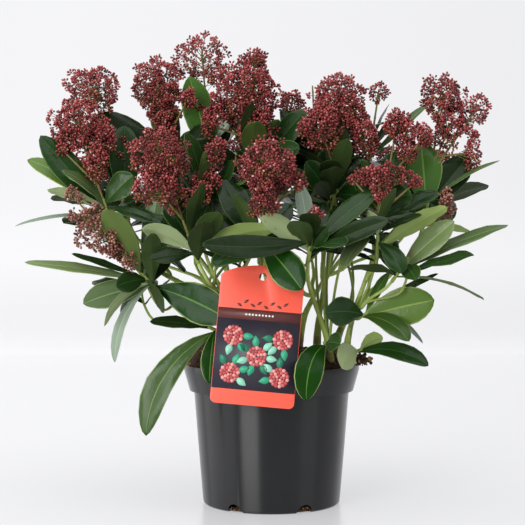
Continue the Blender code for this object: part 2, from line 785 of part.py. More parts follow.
def plan_limbs():
    """Path and radii of every stem and side bough, by name, and where each stem stands."""
    limbs = {}
    feet = []
    for name, (x, y), shoot_name in STEMS:
        shoot = SHOOTS[shoot_name]
        way = shoot_way(shoot)
        end = (Vector(shoot["whorl"]) - way * LEAFY_TWIG) * MM
        ground = min(peat_height(x + dx, y + dy) for dx in (-5, 0, 5) for dy in (-5, 0, 5)) - SEAT_SINK
        foot = Vector((x, y, ground)) * MM
        radii = taper(STEM_RADIUS, STEM_TIP, LIMB_RINGS)
        radii[0] *= STEM_FLARE
        limbs[name] = (bend(foot, UP, end, way, LIMB_RINGS), radii, shoot_name, (UP, way))
        feet.append((foot, radii[0]))
    for name, stem, share, shoot_name in BOUGHS:
        shoot = SHOOTS[shoot_name]
        way = shoot_way(shoot)
        end = (Vector(shoot["whorl"]) - way * LEAFY_TWIG) * MM
        radii = taper(BOUGH_RADIUS, BOUGH_TIP, LIMB_RINGS)

        def route(start, start_way):
            return bend(start, start_way, end, way, LIMB_RINGS)

        start, start_way = beside(limbs[stem], share, end, route, (radii, LIMB_SIDES))
        limbs[name] = (route(start, start_way), radii, shoot_name, (start_way, way))
    return limbs, feet


def beside(limb, share, target, route, section):
    """Start and direction of a side limb: beside its parent, moved out until it has the gap.

    route gives the side limb's path from a start and a direction, section its radii and its sides.
    """
    path, radii, _, ways = limb
    parent = BVHTree.FromPolygons(*tube(path, radii, LIMB_SIDES, ways))
    point, ahead = along(path, share)
    out = target - point
    out = (out - ahead * out.dot(ahead)).normalized()
    apart = radii[-1]
    while True:
        start = point + out * apart
        start_way = (ahead * 0.5 + (target - start).normalized()).normalized()
        reach = route(start, start_way)
        foot = reach[0] + (reach[0] - reach[1]).normalized() * GAP
        grown = tube([foot, *reach[1:]], [radius + GAP for radius in section[0]], section[1])
        if not parent.overlap(BVHTree.FromPolygons(*grown)):
            return start, start_way
        apart += SEAT_STEP * MM


def filler_leaf(share, heading, rng):
    """A leaf that the rule adds: upper ones on the twig stand more upright, those at the front lie lower."""
    rise = FILLER_RISE[0] + FILLER_RISE[1] * share + rng.uniform(-6, 6)
    rise -= FILLER_DIP * max(0.0, -math.sin(math.radians(heading)))
    length = rng.uniform(*FILLER_LENGTH)
    width = length * rng.uniform(*FILLER_WIDTH)
    return (heading, rise, length, width, rng.uniform(12, 32), rng.uniform(-22, 22))


def is_clear(space, blades, owner, root, leaf):
    """True where a leaf is clear of the other nodes, and its blade of every other blade."""
    blade = leaf_solid(root, leaf, 0.0, False)
    return space.is_free(owner, leaf_solid(root, leaf, CLEAR)) and blades.is_free("", blade)


def add_leaves(space, blades, owner, twig, shoot, solids):
    """The named leaves of a shoot, each as planned or turned a little until it is clear, or left out."""
    start, whorl = twig
    for i, row in enumerate(shoot["leaves"]):
        root = start.lerp(whorl, LEAF_ZONE[0] + LEAF_ZONE[1] * (i + 0.5) / len(shoot["leaves"]))
        heading, rise, *rest = leaf_to_tip(root, *row)
        for turn, lift in LEAF_TRIES:
            leaf = (heading + turn, rise + lift, *rest)
            if is_clear(space, blades, owner, root, leaf):
                add_leaf(space, blades, owner, root, leaf, solids)
                break


def add_fillers(space, blades, owner, twig, shoot, solids, rng):
    """Leaves by the golden angle round the twig, until the shoot has its number or runs out of tries."""
    start, whorl = twig
    wanted = shoot.get("fill", 0)
    first = rng.uniform(0, 360)
    found = 0
    for k in range(FILLER_TRIES * wanted):
        if found == wanted:
            break
        share = (k * FILLER_STEP) % 1.0
        root = start.lerp(whorl, FILLER_ZONE[0] + FILLER_ZONE[1] * share)
        leaf = filler_leaf(share, first + math.degrees(k * GOLDEN), rng)
        if is_clear(space, blades, owner, root, leaf):
            add_leaf(space, blades, owner, root, leaf, solids)
            found += 1


def add_leaf(space, blades, owner, root, leaf, solids):
    solid = leaf_solid(root, leaf)
    space.add(owner, solid)
    blades.add(owner, leaf_solid(root, leaf, 0.0, False))
    solids.append(solid)


def add_panicle(space, owner, shoot, solids, rng):
    """The rachis and its domes; a dome that has no room is made smaller, or left out."""
    whorl = Vector(shoot["whorl"])
    first = Vector(shoot["tiers"][0][:3])
    for number, (x, y, z, width, height) in enumerate(shoot["tiers"]):
        middle = Vector((x, y, z))
        start = whorl if number == 0 else whorl.lerp(first, RACHIS_STARTS[0] + RACHIS_STARTS[1] * number)
        hub = middle + (start - middle).normalized() * min(HUB_DEPTH * height, 0.6 * (start - middle).length)
        rachis = [start * MM, hub * MM, middle * MM]
        if not space.is_free(owner, tube(rachis, [RACHIS_RADIUS * MM + CLEAR] * 3, 4)):
            continue
        solids.append(tube(rachis, taper(RACHIS_RADIUS, 0.75 * RACHIS_RADIUS, 3), 4))
        knobs = [rng.uniform(*DOME_KNOBS) for _ in range(DOME_KNOB_COUNT)]
        for shrink in DOME_SHRINKS:
            if space.is_free(owner, dome_solid(middle * MM, width * shrink, height * shrink, knobs, CLEAR)):
                solids.append(dome_solid(middle * MM, width * shrink, height * shrink, knobs))
                break


def join_shoot(name, solids, mat):
    """One body from a shoot's solids."""
    shoot = make_object(name, solids[0], mat)
    parts = [make_object(name + "_piece", solid) for solid in solids[1:]]
    apply_boolean(shoot, parts, "UNION", "MANIFOLD")
    keep_main_body(shoot)
    return shoot


def build_plant():
    for obj in list(bpy.data.objects):
        bpy.data.objects.remove(obj)
    plastic = material("pot_plastic", (0.035, 0.038, 0.042), 0.42)
    soil = material("peat", (0.045, 0.020, 0.012), 0.95)
    card = material("label_card", (0.86, 0.15, 0.09), 0.45)
    bark = material("bark", (0.20, 0.26, 0.07), 0.6)
    foliage = material("foliage", (0.05, 0.12, 0.03), 0.4)
    limbs, feet = plan_limbs()
    pot = build_pot(plastic)
    peat = build_peat(soil, feet)
    label = build_label(card)
    space = Space()
    for obj in (pot, peat, label):
        points = [vertex.co.copy() for vertex in obj.data.vertices]
        space.add(obj.name, (points, [tuple(face.vertices) for face in obj.data.polygons]))
    for name, (path, radii, _, ways) in limbs.items():
        solid = tube(path, radii, LIMB_SIDES, ways)
        space.add(name, solid)
        shade_round(make_object(name, solid, bark))
    grow_foliage(space, limbs, foliage)


def plan_shoots(limbs):
    """Every shoot and sprout, with the two ends of its leafy twig and the twig's thickness."""
    plans = []
    for name, (path, radii, shoot_name, _) in limbs.items():
        shoot = SHOOTS[shoot_name]
        start = path[-1] + shoot_way(shoot) * GAP
        plans.append(("shoot_" + shoot_name, shoot, start, Vector(shoot["whorl"]) * MM, radii[-1]))
    for name, sprout in SPROUTS.items():
        way = heading_vector(sprout["heading"], sprout["rise"])
        limb = limbs[sprout["stem"]]
        point, _ = along(limb[0], sprout["share"])
        radii = [BOUGH_TIP * MM] * 2

        def route(start, _):
            return [start, start + way * sprout["length"] * MM]

        start, _ = beside(limb, sprout["share"], point + way, route, (radii, TWIG_SIDES))
        plans.append((name, sprout, *route(start, way), radii[0]))
    return plans


def grow_foliage(space, limbs, mat):
    """Twigs and panicles take their places first, then the named leaves, then the fillers."""
    plans = plan_shoots(limbs)
    grown = {}
    blades = Space()
    for name, shoot, start, whorl, radius in plans:
        end = whorl + (whorl - start) * 0.05
        twig = tube([start, start.lerp(whorl, 0.5), end], [radius, radius, RACHIS_RADIUS * MM], TWIG_SIDES)
        space.add(name, twig)
        grown[name] = [twig]
    for seed, (name, shoot, _, _, _) in enumerate(plans):
        first = len(grown[name])
        if "tiers" in shoot:
            add_panicle(space, name, shoot, grown[name], random.Random(SEED + seed))
        for solid in grown[name][first:]:
            space.add(name, solid)
    for name, shoot, start, whorl, _ in plans:
        add_leaves(space, blades, name, (start, whorl), shoot, grown[name])
    for seed, (name, shoot, start, whorl, _) in enumerate(plans):
        rng = random.Random(2 * SEED + seed)
        add_fillers(space, blades, name, (start, whorl), shoot, grown[name], rng)
    for name, solids in grown.items():
        join_shoot(name, solids, mat)


build_plant()
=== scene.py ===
"""Potted skimmia in bud: a young evergreen shrub in a black nursery pot, with a printed label on the rim.

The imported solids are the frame. Each section below makes one piece, or one group of like pieces, from the
pot up to the buds: its sizes, its mesh, its finish and its place in the frame. Metres, +Z up, front at -Y.
"""
import math
import random

import bmesh
import bpy
import numpy as np
from mathutils import Matrix, Vector, noise
from mathutils.bvhtree import BVHTree


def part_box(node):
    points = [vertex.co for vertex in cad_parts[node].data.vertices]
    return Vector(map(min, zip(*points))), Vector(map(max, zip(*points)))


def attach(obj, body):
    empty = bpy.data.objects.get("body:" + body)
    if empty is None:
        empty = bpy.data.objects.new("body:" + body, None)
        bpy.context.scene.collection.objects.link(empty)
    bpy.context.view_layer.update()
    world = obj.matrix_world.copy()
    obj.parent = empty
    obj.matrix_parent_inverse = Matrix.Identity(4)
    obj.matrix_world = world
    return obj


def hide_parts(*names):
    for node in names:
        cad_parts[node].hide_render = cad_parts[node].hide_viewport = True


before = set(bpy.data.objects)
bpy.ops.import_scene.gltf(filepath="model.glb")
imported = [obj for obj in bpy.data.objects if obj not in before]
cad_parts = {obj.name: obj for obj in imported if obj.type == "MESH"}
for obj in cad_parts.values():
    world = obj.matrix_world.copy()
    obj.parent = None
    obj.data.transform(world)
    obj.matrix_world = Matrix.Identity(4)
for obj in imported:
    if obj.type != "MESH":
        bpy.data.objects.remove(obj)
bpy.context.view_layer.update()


# Nursery pot
# One round pot of black polypropylene, injection moulded with a stepped lip that lets pots be stacked and
# carried. Its floor is flat, and six arched notches at its foot let water out.
MM = 0.001
UP = Vector((0.0, 0.0, 1.0))
POT_FACES = 160
_, pot_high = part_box("pot")
RIM_RADIUS = pot_high.x / MM
POT_TOP = pot_high.z / MM
RIM_BAND = 3.2
RIM_CHAMFER = (0.3, 5.0)
LIP_FOOT = 109.0
LIP_RADIUS = 79.2
LIP_STEP = 0.5
BODY_RADIUS = 75.0
FOOT_RADIUS = 66.3
FOOT_CURVE = 4.0
FOOT_ROUND = ((1.0, 0.0), (0.45, 0.12), (0.12, 0.45), (0.0, 1.0))
WALL = 2.0
FLOOR = 2.5
# radius and height of each turn in the wall, from the foot up the outside and down the inside
POT_PROFILE = (
    *((FOOT_RADIUS - back * FOOT_CURVE, up * FOOT_CURVE) for back, up in FOOT_ROUND),
    (0.5 * (FOOT_RADIUS + BODY_RADIUS), 0.5 * LIP_FOOT), (BODY_RADIUS, LIP_FOOT - LIP_STEP),
    (LIP_RADIUS, LIP_FOOT), (RIM_RADIUS - RIM_CHAMFER[0], POT_TOP - RIM_CHAMFER[1]),
    (RIM_RADIUS, POT_TOP - RIM_BAND), (RIM_RADIUS, POT_TOP), (RIM_RADIUS - WALL, POT_TOP),
    (LIP_RADIUS - WALL, LIP_FOOT + WALL), (BODY_RADIUS - WALL, LIP_FOOT),
    (FOOT_RADIUS - WALL, FLOOR + WALL), (FOOT_RADIUS - 2 * WALL, FLOOR),
)
NOTCHES = 6
NOTCH_SIDES = 32
NOTCH_WIDTH = 17.0
NOTCH_HEIGHT = 8.0
NOTCH_TURN = -122.0
NOTCH_MIDDLE = 66.0
NOTCH_DEPTH = 16.0
# how the pot's edges are rounded: width, segments, and the angles that are bevelled and shaded smoothly
POT_EDGES = (0.45, 3, 28, 35)


def linear(code):
    """Linear colour from an sRGB hex value."""
    channels = [int(code[i:i + 2], 16) / 255 for i in (1, 3, 5)]
    return (*[c / 12.92 if c <= 0.04045 else ((c + 0.055) / 1.055) ** 2.4 for c in channels], 1.0)


def new_material(name, colour, settings):
    """A material and its shader, with the shader's own sockets set."""
    mat = bpy.data.materials.new(name)
    mat.use_nodes = True
    shader = mat.node_tree.nodes["Principled BSDF"]
    shader.inputs["Base Color"].default_value = linear(colour)
    for socket, value in settings.items():
        shader.inputs[socket].default_value = value
    return mat, shader


def add_node(mat, kind, settings, sources=None):
    """One node, with its settings (a socket's name or number, or a property) and what feeds its sockets."""
    made = mat.node_tree.nodes.new(kind)
    for name, value in settings.items():
        if isinstance(name, int) or name in made.inputs:
            made.inputs[name].default_value = value
        else:
            setattr(made, name, value)
    for name, source in (sources or {}).items():
        mat.node_tree.links.new(source, made.inputs[name])
    return made


def feed(mat, shader, socket, source):
    """Let a node's output drive one of the shader's sockets."""
    mat.node_tree.links.new(source, shader.inputs[socket])


def scale_of(size):
    """A noise's scale from the size of its patches in millimetres."""
    return 1.0 / (size * MM)


def select_only(obj):
    """Select one object and make it the active one."""
    bpy.ops.object.select_all(action="DESELECT")
    obj.select_set(True)
    bpy.context.view_layer.objects.active = obj


def settle(obj, name):
    """Name a finished piece and put its place into its mesh."""
    obj.name = name
    obj.data.name = name
    obj.data.transform(obj.matrix_world)
    obj.matrix_world = Matrix.Identity(4)


def face_outwards(obj):
    """Turn every face of a closed mesh outwards."""
    select_only(obj)
    bpy.ops.object.mode_set(mode="EDIT")
    bpy.ops.mesh.select_all(action="SELECT")
    bpy.ops.mesh.normals_make_consistent(inside=False)
    bpy.ops.object.mode_set(mode="OBJECT")


def cut_away(obj, cutters):
    """Cut each cutter out of obj, and remove the cutters."""
    for cutter in cutters:
        select_only(obj)
        bpy.ops.object.modifier_add(type="BOOLEAN")
        cut = obj.modifiers[-1]
        cut.operation = "DIFFERENCE"
        cut.solver = "EXACT"
        cut.object = cutter
        bpy.ops.object.modifier_apply(modifier=cut.name)
        bpy.data.objects.remove(cutter)


def round_edges(obj, width, segments, sharp, smooth):
    """Bevel the edges that are sharper than one angle, and shade smoothly over those below the other."""
    select_only(obj)
    bpy.ops.object.modifier_add(type="BEVEL")
    edge = obj.modifiers[-1]
    edge.width = width * MM
    edge.segments = segments
    edge.limit_method = "ANGLE"
    edge.angle_limit = math.radians(sharp)
    bpy.ops.object.modifier_apply(modifier=edge.name)
    bpy.ops.object.shade_smooth_by_angle(angle=math.radians(smooth))


bpy.ops.object.select_all(action="DESELECT")
bpy.ops.mesh.primitive_circle_add(
    vertices=POT_FACES, radius=POT_PROFILE[0][0] * MM, fill_type="NGON",
    location=(0, 0, POT_PROFILE[0][1] * MM))
pot = bpy.context.object
bpy.ops.object.mode_set(mode="EDIT")
bpy.ops.mesh.select_all(action="SELECT")
for (radius, height), (next_radius, next_height) in zip(POT_PROFILE, POT_PROFILE[1:]):
    rise = (next_height - height) * MM
    bpy.ops.mesh.extrude_region_move(TRANSFORM_OT_translate={"value": (0, 0, rise)})
    share = next_radius / radius
    bpy.ops.transform.resize(value=(share, share, 1.0), center_override=(0, 0, next_height * MM))
bpy.ops.object.mode_set(mode="OBJECT")
face_outwards(pot)
notch_cutters = []
for i in range(NOTCHES):
    turn = math.radians(NOTCH_TURN + 360.0 * i / NOTCHES)
    place = (NOTCH_MIDDLE * MM * math.cos(turn), NOTCH_MIDDLE * MM * math.sin(turn), 0.0)
    bpy.ops.mesh.primitive_cylinder_add(
        vertices=NOTCH_SIDES, radius=1.0, depth=NOTCH_DEPTH * MM, location=place,
        rotation=(0, math.pi / 2, turn))
    notch_cutters.append(bpy.context.object)
    notch_cutters[-1].scale = (NOTCH_HEIGHT * MM, 0.5 * NOTCH_WIDTH * MM, 1.0)
cut_away(pot, notch_cutters)
round_edges(pot, *POT_EDGES)
settle(pot, "nursery_pot")

# Moulded polypropylene: soot black with a satin skin, which gives one long soft highlight down the wall.
# Faint rings from the turned mould and a little dust keep it from looking like glass.
POT_BLACK = "#0e0f11"
POT_DUST = "#17181b"
DUST_PATCH = 29.41
SKIN_GRAIN = 0.7143
RING_PITCH = 2.6
plastic, shader = new_material("moulded_polypropylene", POT_BLACK, {
    "Roughness": 0.3, "IOR": 1.49, "Anisotropic": 0.95, "Anisotropic Rotation": 0.25})
# the rings lie round the wall, so they draw every reflection out upright
round_wall = add_node(plastic, "ShaderNodeTangent", {"direction_type": "RADIAL", "axis": "Z"})
feed(plastic, shader, "Tangent", round_wall.outputs["Tangent"])
coords = add_node(plastic, "ShaderNodeTexCoord", {})
dust = add_node(plastic, "ShaderNodeTexNoise",
                {"Scale": scale_of(DUST_PATCH), "Detail": 8.0, "Roughness": 0.62},
                {"Vector": coords.outputs["Object"]})
dust_share = add_node(plastic, "ShaderNodeMapRange", {"From Min": 0.48, "From Max": 0.78, "To Max": 0.8},
                      {"Value": dust.outputs["Fac"]})
dust_tint = add_node(plastic, "ShaderNodeMix",
                     {"data_type": "RGBA", 6: linear(POT_BLACK), 7: linear(POT_DUST)},
                     {0: dust_share.outputs["Result"]})
feed(plastic, shader, "Base Color", dust_tint.outputs[2])
gloss = add_node(plastic, "ShaderNodeMapRange",
                 {"From Min": 0.3, "From Max": 0.7, "To Min": 0.28, "To Max": 0.34},
                 {"Value": dust.outputs["Fac"]})
feed(plastic, shader, "Roughness", gloss.outputs["Result"])
rings = add_node(plastic, "ShaderNodeTexWave",
                 {"wave_type": "BANDS", "bands_direction": "Z", "Scale": math.tau / (20 * RING_PITCH * MM),
                  "Distortion": 0.6, "Detail": 2.0, "Detail Scale": 3.0},
                 {"Vector": coords.outputs["Object"]})
grain = add_node(plastic, "ShaderNodeTexNoise", {"Scale": scale_of(SKIN_GRAIN), "Detail": 3.0},
                 {"Vector": coords.outputs["Object"]})
ring_bump = add_node(plastic, "ShaderNodeBump", {"Strength": 0.12, "Distance": 0.05 * MM},
                     {"Height": rings.outputs["Fac"]})
grain_bump = add_node(plastic, "ShaderNodeBump", {"Strength": 0.1, "Distance": 0.03 * MM},
                      {"Height": grain.outputs["Fac"], "Normal": ring_bump.outputs["Normal"]})
feed(plastic, shader, "Normal", grain_bump.outputs["Normal"])
pot.data.materials.clear()
pot.data.materials.append(plastic)
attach(pot, "root")
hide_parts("pot")


# Peat root ball
# Brown peat held together by fine roots. It stands proud of the rim, higher on the left, is ragged where it
# was pressed into the pot, and a few crumbs hang over the rim at the right and sit in the notches below.
PEAT_HEIGHT = 149.0
PEAT_FALL = 0.12
PEAT_EDGE = 130.0
PEAT_BUMP = 1.6
PEAT_WAVES = (9.0, 11.0)
PEAT_PHASES = (1.0, 0.5)
PEAT_ROUND = 82.0
PEAT_STEEP = 14
PEAT_GAP = 0.8
PEAT_RADIUS = RIM_RADIUS - WALL - PEAT_GAP
PEAT_UNDER = 118.0
PEAT_SAG = 4.0
PEAT_MESH = (190, 96)
# clods and crumbs: each size with its height, and how far apart their noises are taken
CLOD_SIZES = ((5.5, 1.5), (2.4, 0.8), (1.1, 0.35))
CLOD_LAYER = 7.0
CRUMBS = 1700
CRUMB_RADIUS = (0.7, 2.3)
CRUMB_SHARE = (0.5, 1.0)
CRUMB_SQUASH = (0.6, 1.15)
CRUMB_LIFT = 0.3
CRUMB_EDGE = 0.5
# the clump over the rim, and the crumbs that have washed into the notches
OVERHANG = (87.0, -14.0, 138.5)
OVERHANG_SPREAD = (3.2, 6.0, 2.2)
OVERHANG_CRUMBS = 110
OVERHANG_RADIUS = (1.0, 2.4)
NOTCH_CRUMBS = 26
NOTCH_RADIUS = (0.6, 1.2)
NOTCH_SPREAD = 5.5
NOTCH_BACK = (-5.0, -1.0)
NOTCH_RISE = (1.2, 5.5)
rng = random.Random(5)


def peat_height(x, y):
    """Height of the peat at a place, in millimetres."""
    radius = math.hypot(x, y)
    top = PEAT_HEIGHT - PEAT_FALL * x
    top += (PEAT_BUMP * math.sin(x / PEAT_WAVES[0] + PEAT_PHASES[0])
            * math.cos(y / PEAT_WAVES[1] + PEAT_PHASES[1]))
    return top - (top - PEAT_EDGE) * (radius / PEAT_ROUND) ** PEAT_STEEP


def template(obj):
    """Points of a mesh, and its faces by their number of corners; the object is then removed."""
    points = np.array([vertex.co for vertex in obj.data.vertices])
    faces = {}
    for face in obj.data.polygons:
        faces.setdefault(len(face.vertices), []).append(list(face.vertices))
    bpy.data.objects.remove(obj)
    return points, [np.array(group) for group in faces.values()]


def join_copies(name, copies, mats, smooth=True):
    """One object from many small meshes, each given as points and groups of faces with their slots."""
    points, corners, sizes, slots = [], [], [], []
    first = 0
    for co, groups in copies:
        points.append(co)
        for faces, slot in groups:
            corners.append((faces + first).ravel())
            sizes.append(np.full(len(faces), faces.shape[1]))
            slots.append(np.broadcast_to(slot, len(faces)))
        first += len(co)
    points, corners, sizes, slots = (np.concatenate(parts) for parts in (points, corners, sizes, slots))
    mesh = bpy.data.meshes.new(name)
    mesh.vertices.add(len(points))
    mesh.vertices.foreach_set("co", points.astype(np.float32).ravel())
    mesh.loops.add(len(corners))
    mesh.loops.foreach_set("vertex_index", corners.astype(np.int32))
    mesh.polygons.add(len(sizes))
    mesh.polygons.foreach_set("loop_start", np.concatenate(([0], np.cumsum(sizes)[:-1])).astype(np.int32))
    mesh.polygons.foreach_set("material_index", slots.astype(np.int32))
    for mat in mats:
        mesh.materials.append(mat)
    mesh.update(calc_edges=True)
    if smooth:
        mesh.shade_smooth()
    obj = bpy.data.objects.new(name, mesh)
    bpy.context.scene.collection.objects.link(obj)
    return obj


def directions(axes):
    """Two directions across each axis, and the axis, all of unit length."""
    axes = axes / np.linalg.norm(axes, axis=1, keepdims=True)
    aside = np.where(np.abs(axes[:, 2:]) < 0.9, (0.0, 0.0, 1.0), (1.0, 0.0, 0.0))
    across = np.cross(axes, aside)
    across /= np.linalg.norm(across, axis=1, keepdims=True)
    return across, np.cross(axes, across), axes


def scatter(shape, centres, axes, sizes):
    """Copies of a small mesh at many places, each along its own axis: their points and groups of faces."""
    points, groups = shape
    frames = directions(np.asarray(axes, float))
    sizes = np.asarray(sizes, float).reshape(len(centres), -1)
    spans = np.broadcast_to(sizes, (len(centres), 3)) if sizes.shape[1] == 1 else sizes
    local = points[None] * spans[:, None]
    placed = sum(local[..., i:i + 1] * way[:, None] for i, way in enumerate(frames))
    placed = placed + np.asarray(centres, float)[:, None]
    step = (np.arange(len(centres)) * len(points))[:, None, None]
    return placed.reshape(-1, 3), [(group[None] + step).reshape(-1, group.shape[1]) for group in groups]


bpy.ops.object.select_all(action="DESELECT")
bpy.ops.mesh.primitive_uv_sphere_add(segments=PEAT_MESH[0], ring_count=PEAT_MESH[1], radius=PEAT_RADIUS * MM)
peat = bpy.context.object
for vertex in peat.data.vertices:
    x, y, z = vertex.co / MM
    flat = math.hypot(x, y) or 1e-6
    # the sphere's rings are drawn outwards, so that they lie evenly over the crown
    share = 2.0 * math.acos(min(abs(z) / PEAT_RADIUS, 1.0)) / math.pi
    x, y = x / flat * share * PEAT_RADIUS, y / flat * share * PEAT_RADIUS
    if z >= -1e-6:
        height = peat_height(x, y)
        for size, depth in CLOD_SIZES:
            height += depth * noise.noise(Vector((x, y, CLOD_LAYER * size)) / size)
        vertex.co = Vector((x, y, height)) * MM
    else:
        vertex.co = Vector((x, y, PEAT_UNDER - PEAT_SAG * (1.0 - share))) * MM
face_outwards(peat)
peat.data.shade_smooth()
settle(peat, "peat_root_ball")

bpy.ops.mesh.primitive_ico_sphere_add(subdivisions=1, radius=1.0)
crumb = template(bpy.context.object)
crumb_places, crumb_axes, crumb_sizes = [], [], []


def drop_crumb(place, size):
    """One crumb of peat, tipped and squashed at random."""
    crumb_places.append(place)
    crumb_axes.append([rng.uniform(-1, 1) for _ in range(2)] + [rng.uniform(0.1, 1)])
    crumb_sizes.append([size * rng.uniform(*CRUMB_SQUASH) * MM for _ in range(3)])


for _ in range(CRUMBS):
    turn = rng.uniform(0, math.tau)
    away = (PEAT_RADIUS - CRUMB_EDGE) * math.sqrt(rng.random())
    x, y = away * math.cos(turn), away * math.sin(turn)
    size = rng.uniform(*CRUMB_RADIUS) * rng.uniform(*CRUMB_SHARE)
    drop_crumb(Vector((x, y, peat_height(x, y) + CRUMB_LIFT * size)) * MM, size)
for _ in range(OVERHANG_CRUMBS):
    place = Vector(OVERHANG) + Vector([rng.gauss(0, spread) for spread in OVERHANG_SPREAD])
    place.z = max(place.z, POT_TOP + 1.0)
    drop_crumb(place * MM, rng.uniform(*OVERHANG_RADIUS))
for i in range(NOTCHES):
    for _ in range(NOTCH_CRUMBS):
        turn = math.radians(NOTCH_TURN + 360.0 * i / NOTCHES + rng.uniform(-NOTCH_SPREAD, NOTCH_SPREAD))
        away = FOOT_RADIUS + rng.uniform(*NOTCH_BACK)
        place = Vector((away * math.cos(turn), away * math.sin(turn), rng.uniform(*NOTCH_RISE)))
        drop_crumb(place * MM, rng.uniform(*NOTCH_RADIUS))

# Damp peat, near black to red brown: darker where its fine relief sinks and lighter where it rises, with
# straw-coloured fibres. Dull all over, with a broken surface far finer than the clods.
PEAT_COLOURS = ("#33261d", "#4a3223", "#7a5a3c", "#9a7a52")
PEAT_NAMES = ("damp_peat", "peat_clod", "peat_fibre")
CRUMB_MIX = (0.55, 0.3, 0.15)
PEAT_GRIT = 2.381


def grained(name, colour, settings, grain, strength, depth):
    """A material with a fine noise in relief, given with the relief's strength and depth in millimetres."""
    mat, shader = new_material(name, colour, settings)
    coords = add_node(mat, "ShaderNodeTexCoord", {})
    speck = add_node(mat, "ShaderNodeTexNoise", grain, {"Vector": coords.outputs["Object"]})
    bump = add_node(mat, "ShaderNodeBump", {"Strength": strength, "Distance": depth * MM},
                    {"Height": speck.outputs["Fac"]})
    feed(mat, shader, "Normal", bump.outputs["Normal"])
    return mat, shader, speck


peat_mats = []
for name, dark, light in zip(PEAT_NAMES, PEAT_COLOURS, PEAT_COLOURS[1:]):
    mat, shader, speck = grained(name, dark, {"Roughness": 0.93, "Specular IOR Level": 0.25},
                                 {"Scale": scale_of(PEAT_GRIT), "Detail": 6.0, "Roughness": 0.7}, 0.9, 0.6)
    ramp = add_node(mat, "ShaderNodeValToRGB", {}, {"Fac": speck.outputs["Fac"]})
    for stop, position, colour in zip(ramp.color_ramp.elements, (0.36, 0.72), (dark, light)):
        stop.position = position
        stop.color = linear(colour)
    feed(mat, shader, "Base Color", ramp.outputs["Color"])
    peat_mats.append(mat)
points, (corners,) = scatter(crumb, crumb_places, crumb_axes, crumb_sizes)
tones = np.random.default_rng(5).choice(3, len(crumb_places), p=CRUMB_MIX)
slots = np.repeat(tones, len(corners) // len(crumb_places))
crumbs = join_copies("peat_crumbs", [(points, [(corners, slots)])], peat_mats)
peat.data.materials.append(peat_mats[0])
for piece in (peat, crumbs):
    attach(piece, "root")
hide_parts("peat")


# Card label
# A plant label cut from coated card, with an arched top, round corners and a punched hole. Its tongue is
# folded over the rim behind it. The print is a plain flower-and-leaf pattern in the usual garden colours.
LABEL_WIDTH = 76.0
LABEL_HEIGHT = 116.0
LABEL_ARCH = 11.0
ARCH_FULLNESS = 0.7
ARCH_POINTS = 32
LABEL_CORNER = 5.0
CORNER_POINTS = 10
LABEL_THICK = 0.8
LABEL_EDGES = (0.12, 2, 60, 30)
LABEL_HOLE = 7.0
HOLE_SIDES = 40
HOLE_RISE = 1.0
HOLE_CUT = 20.0
LABEL_PLACE = (-18.5, 103.0)
LABEL_TURN = 5.0
LABEL_LEAN = 5.5
LABEL_CLEAR = 0.4
TONGUE_PLACE = -8.0
TONGUE_WIDTH = 8.0
TONGUE_START = 9.0
TONGUE_FOLD = ((0.0, 1.2), (0.4, 0.3), (1.3, 0.0))
TONGUE_BACK = -79.0
TONGUE_DEPTH = 5.5
TONGUE_SMOOTH = 40


def card_outline():
    """Outline of the card, from its lower right corner over the arched top, in millimetres."""
    half, corner = 0.5 * LABEL_WIDTH, LABEL_CORNER
    outline = []
    for middle, start in (((half - corner, corner), -90), ((-half + corner, corner), 180)):
        for k in range(CORNER_POINTS):
            turn = math.radians(start + 90 * k / (CORNER_POINTS - 1))
            outline.append((middle[0] + corner * math.cos(turn), middle[1] + corner * math.sin(turn)))
        if start == -90:
            for k in range(ARCH_POINTS + 1):
                share = k / ARCH_POINTS
                rise = LABEL_ARCH * math.sin(math.pi * share) ** ARCH_FULLNESS
                outline.append((half - LABEL_WIDTH * share, LABEL_HEIGHT + rise))
    return outline


outline = card_outline()
bpy.ops.object.select_all(action="DESELECT")
bpy.ops.mesh.primitive_circle_add(vertices=len(outline), radius=0.5 * LABEL_WIDTH * MM, fill_type="NGON")
label = bpy.context.object
for vertex, (x, z) in zip(label.data.vertices, outline):
    vertex.co = Vector((x, -LABEL_THICK, z)) * MM
bpy.ops.object.mode_set(mode="EDIT")
bpy.ops.mesh.select_all(action="SELECT")
bpy.ops.mesh.extrude_region_move(TRANSFORM_OT_translate={"value": (0, LABEL_THICK * MM, 0)})
bpy.ops.object.mode_set(mode="OBJECT")
face_outwards(label)
bpy.ops.mesh.primitive_cylinder_add(
    vertices=HOLE_SIDES, radius=0.5 * LABEL_HOLE * MM, depth=HOLE_CUT * MM,
    location=(0, 0, (LABEL_HEIGHT + HOLE_RISE) * MM), rotation=(math.pi / 2, 0, 0))
cut_away(label, [bpy.context.object])
round_edges(label, *LABEL_EDGES)

# The print, each patch of ink in the layer above the one it covers: two panels, five round blossoms in a
# quincunx with leaves laid between them like the spokes of a wheel, a row of dots, and a small garland.
PRINT_STEP = 0.035
PRINT_EDGE = 0.3
PRINT_MARGIN = 2.0
PANEL = (13.5, 77.0)
BAND = (77.0, 86.5)
BLOSSOMS = ((-22.0, 62.0), (23.0, 61.0), (0.5, 44.5), (-22.5, 28.0), (22.5, 27.0))
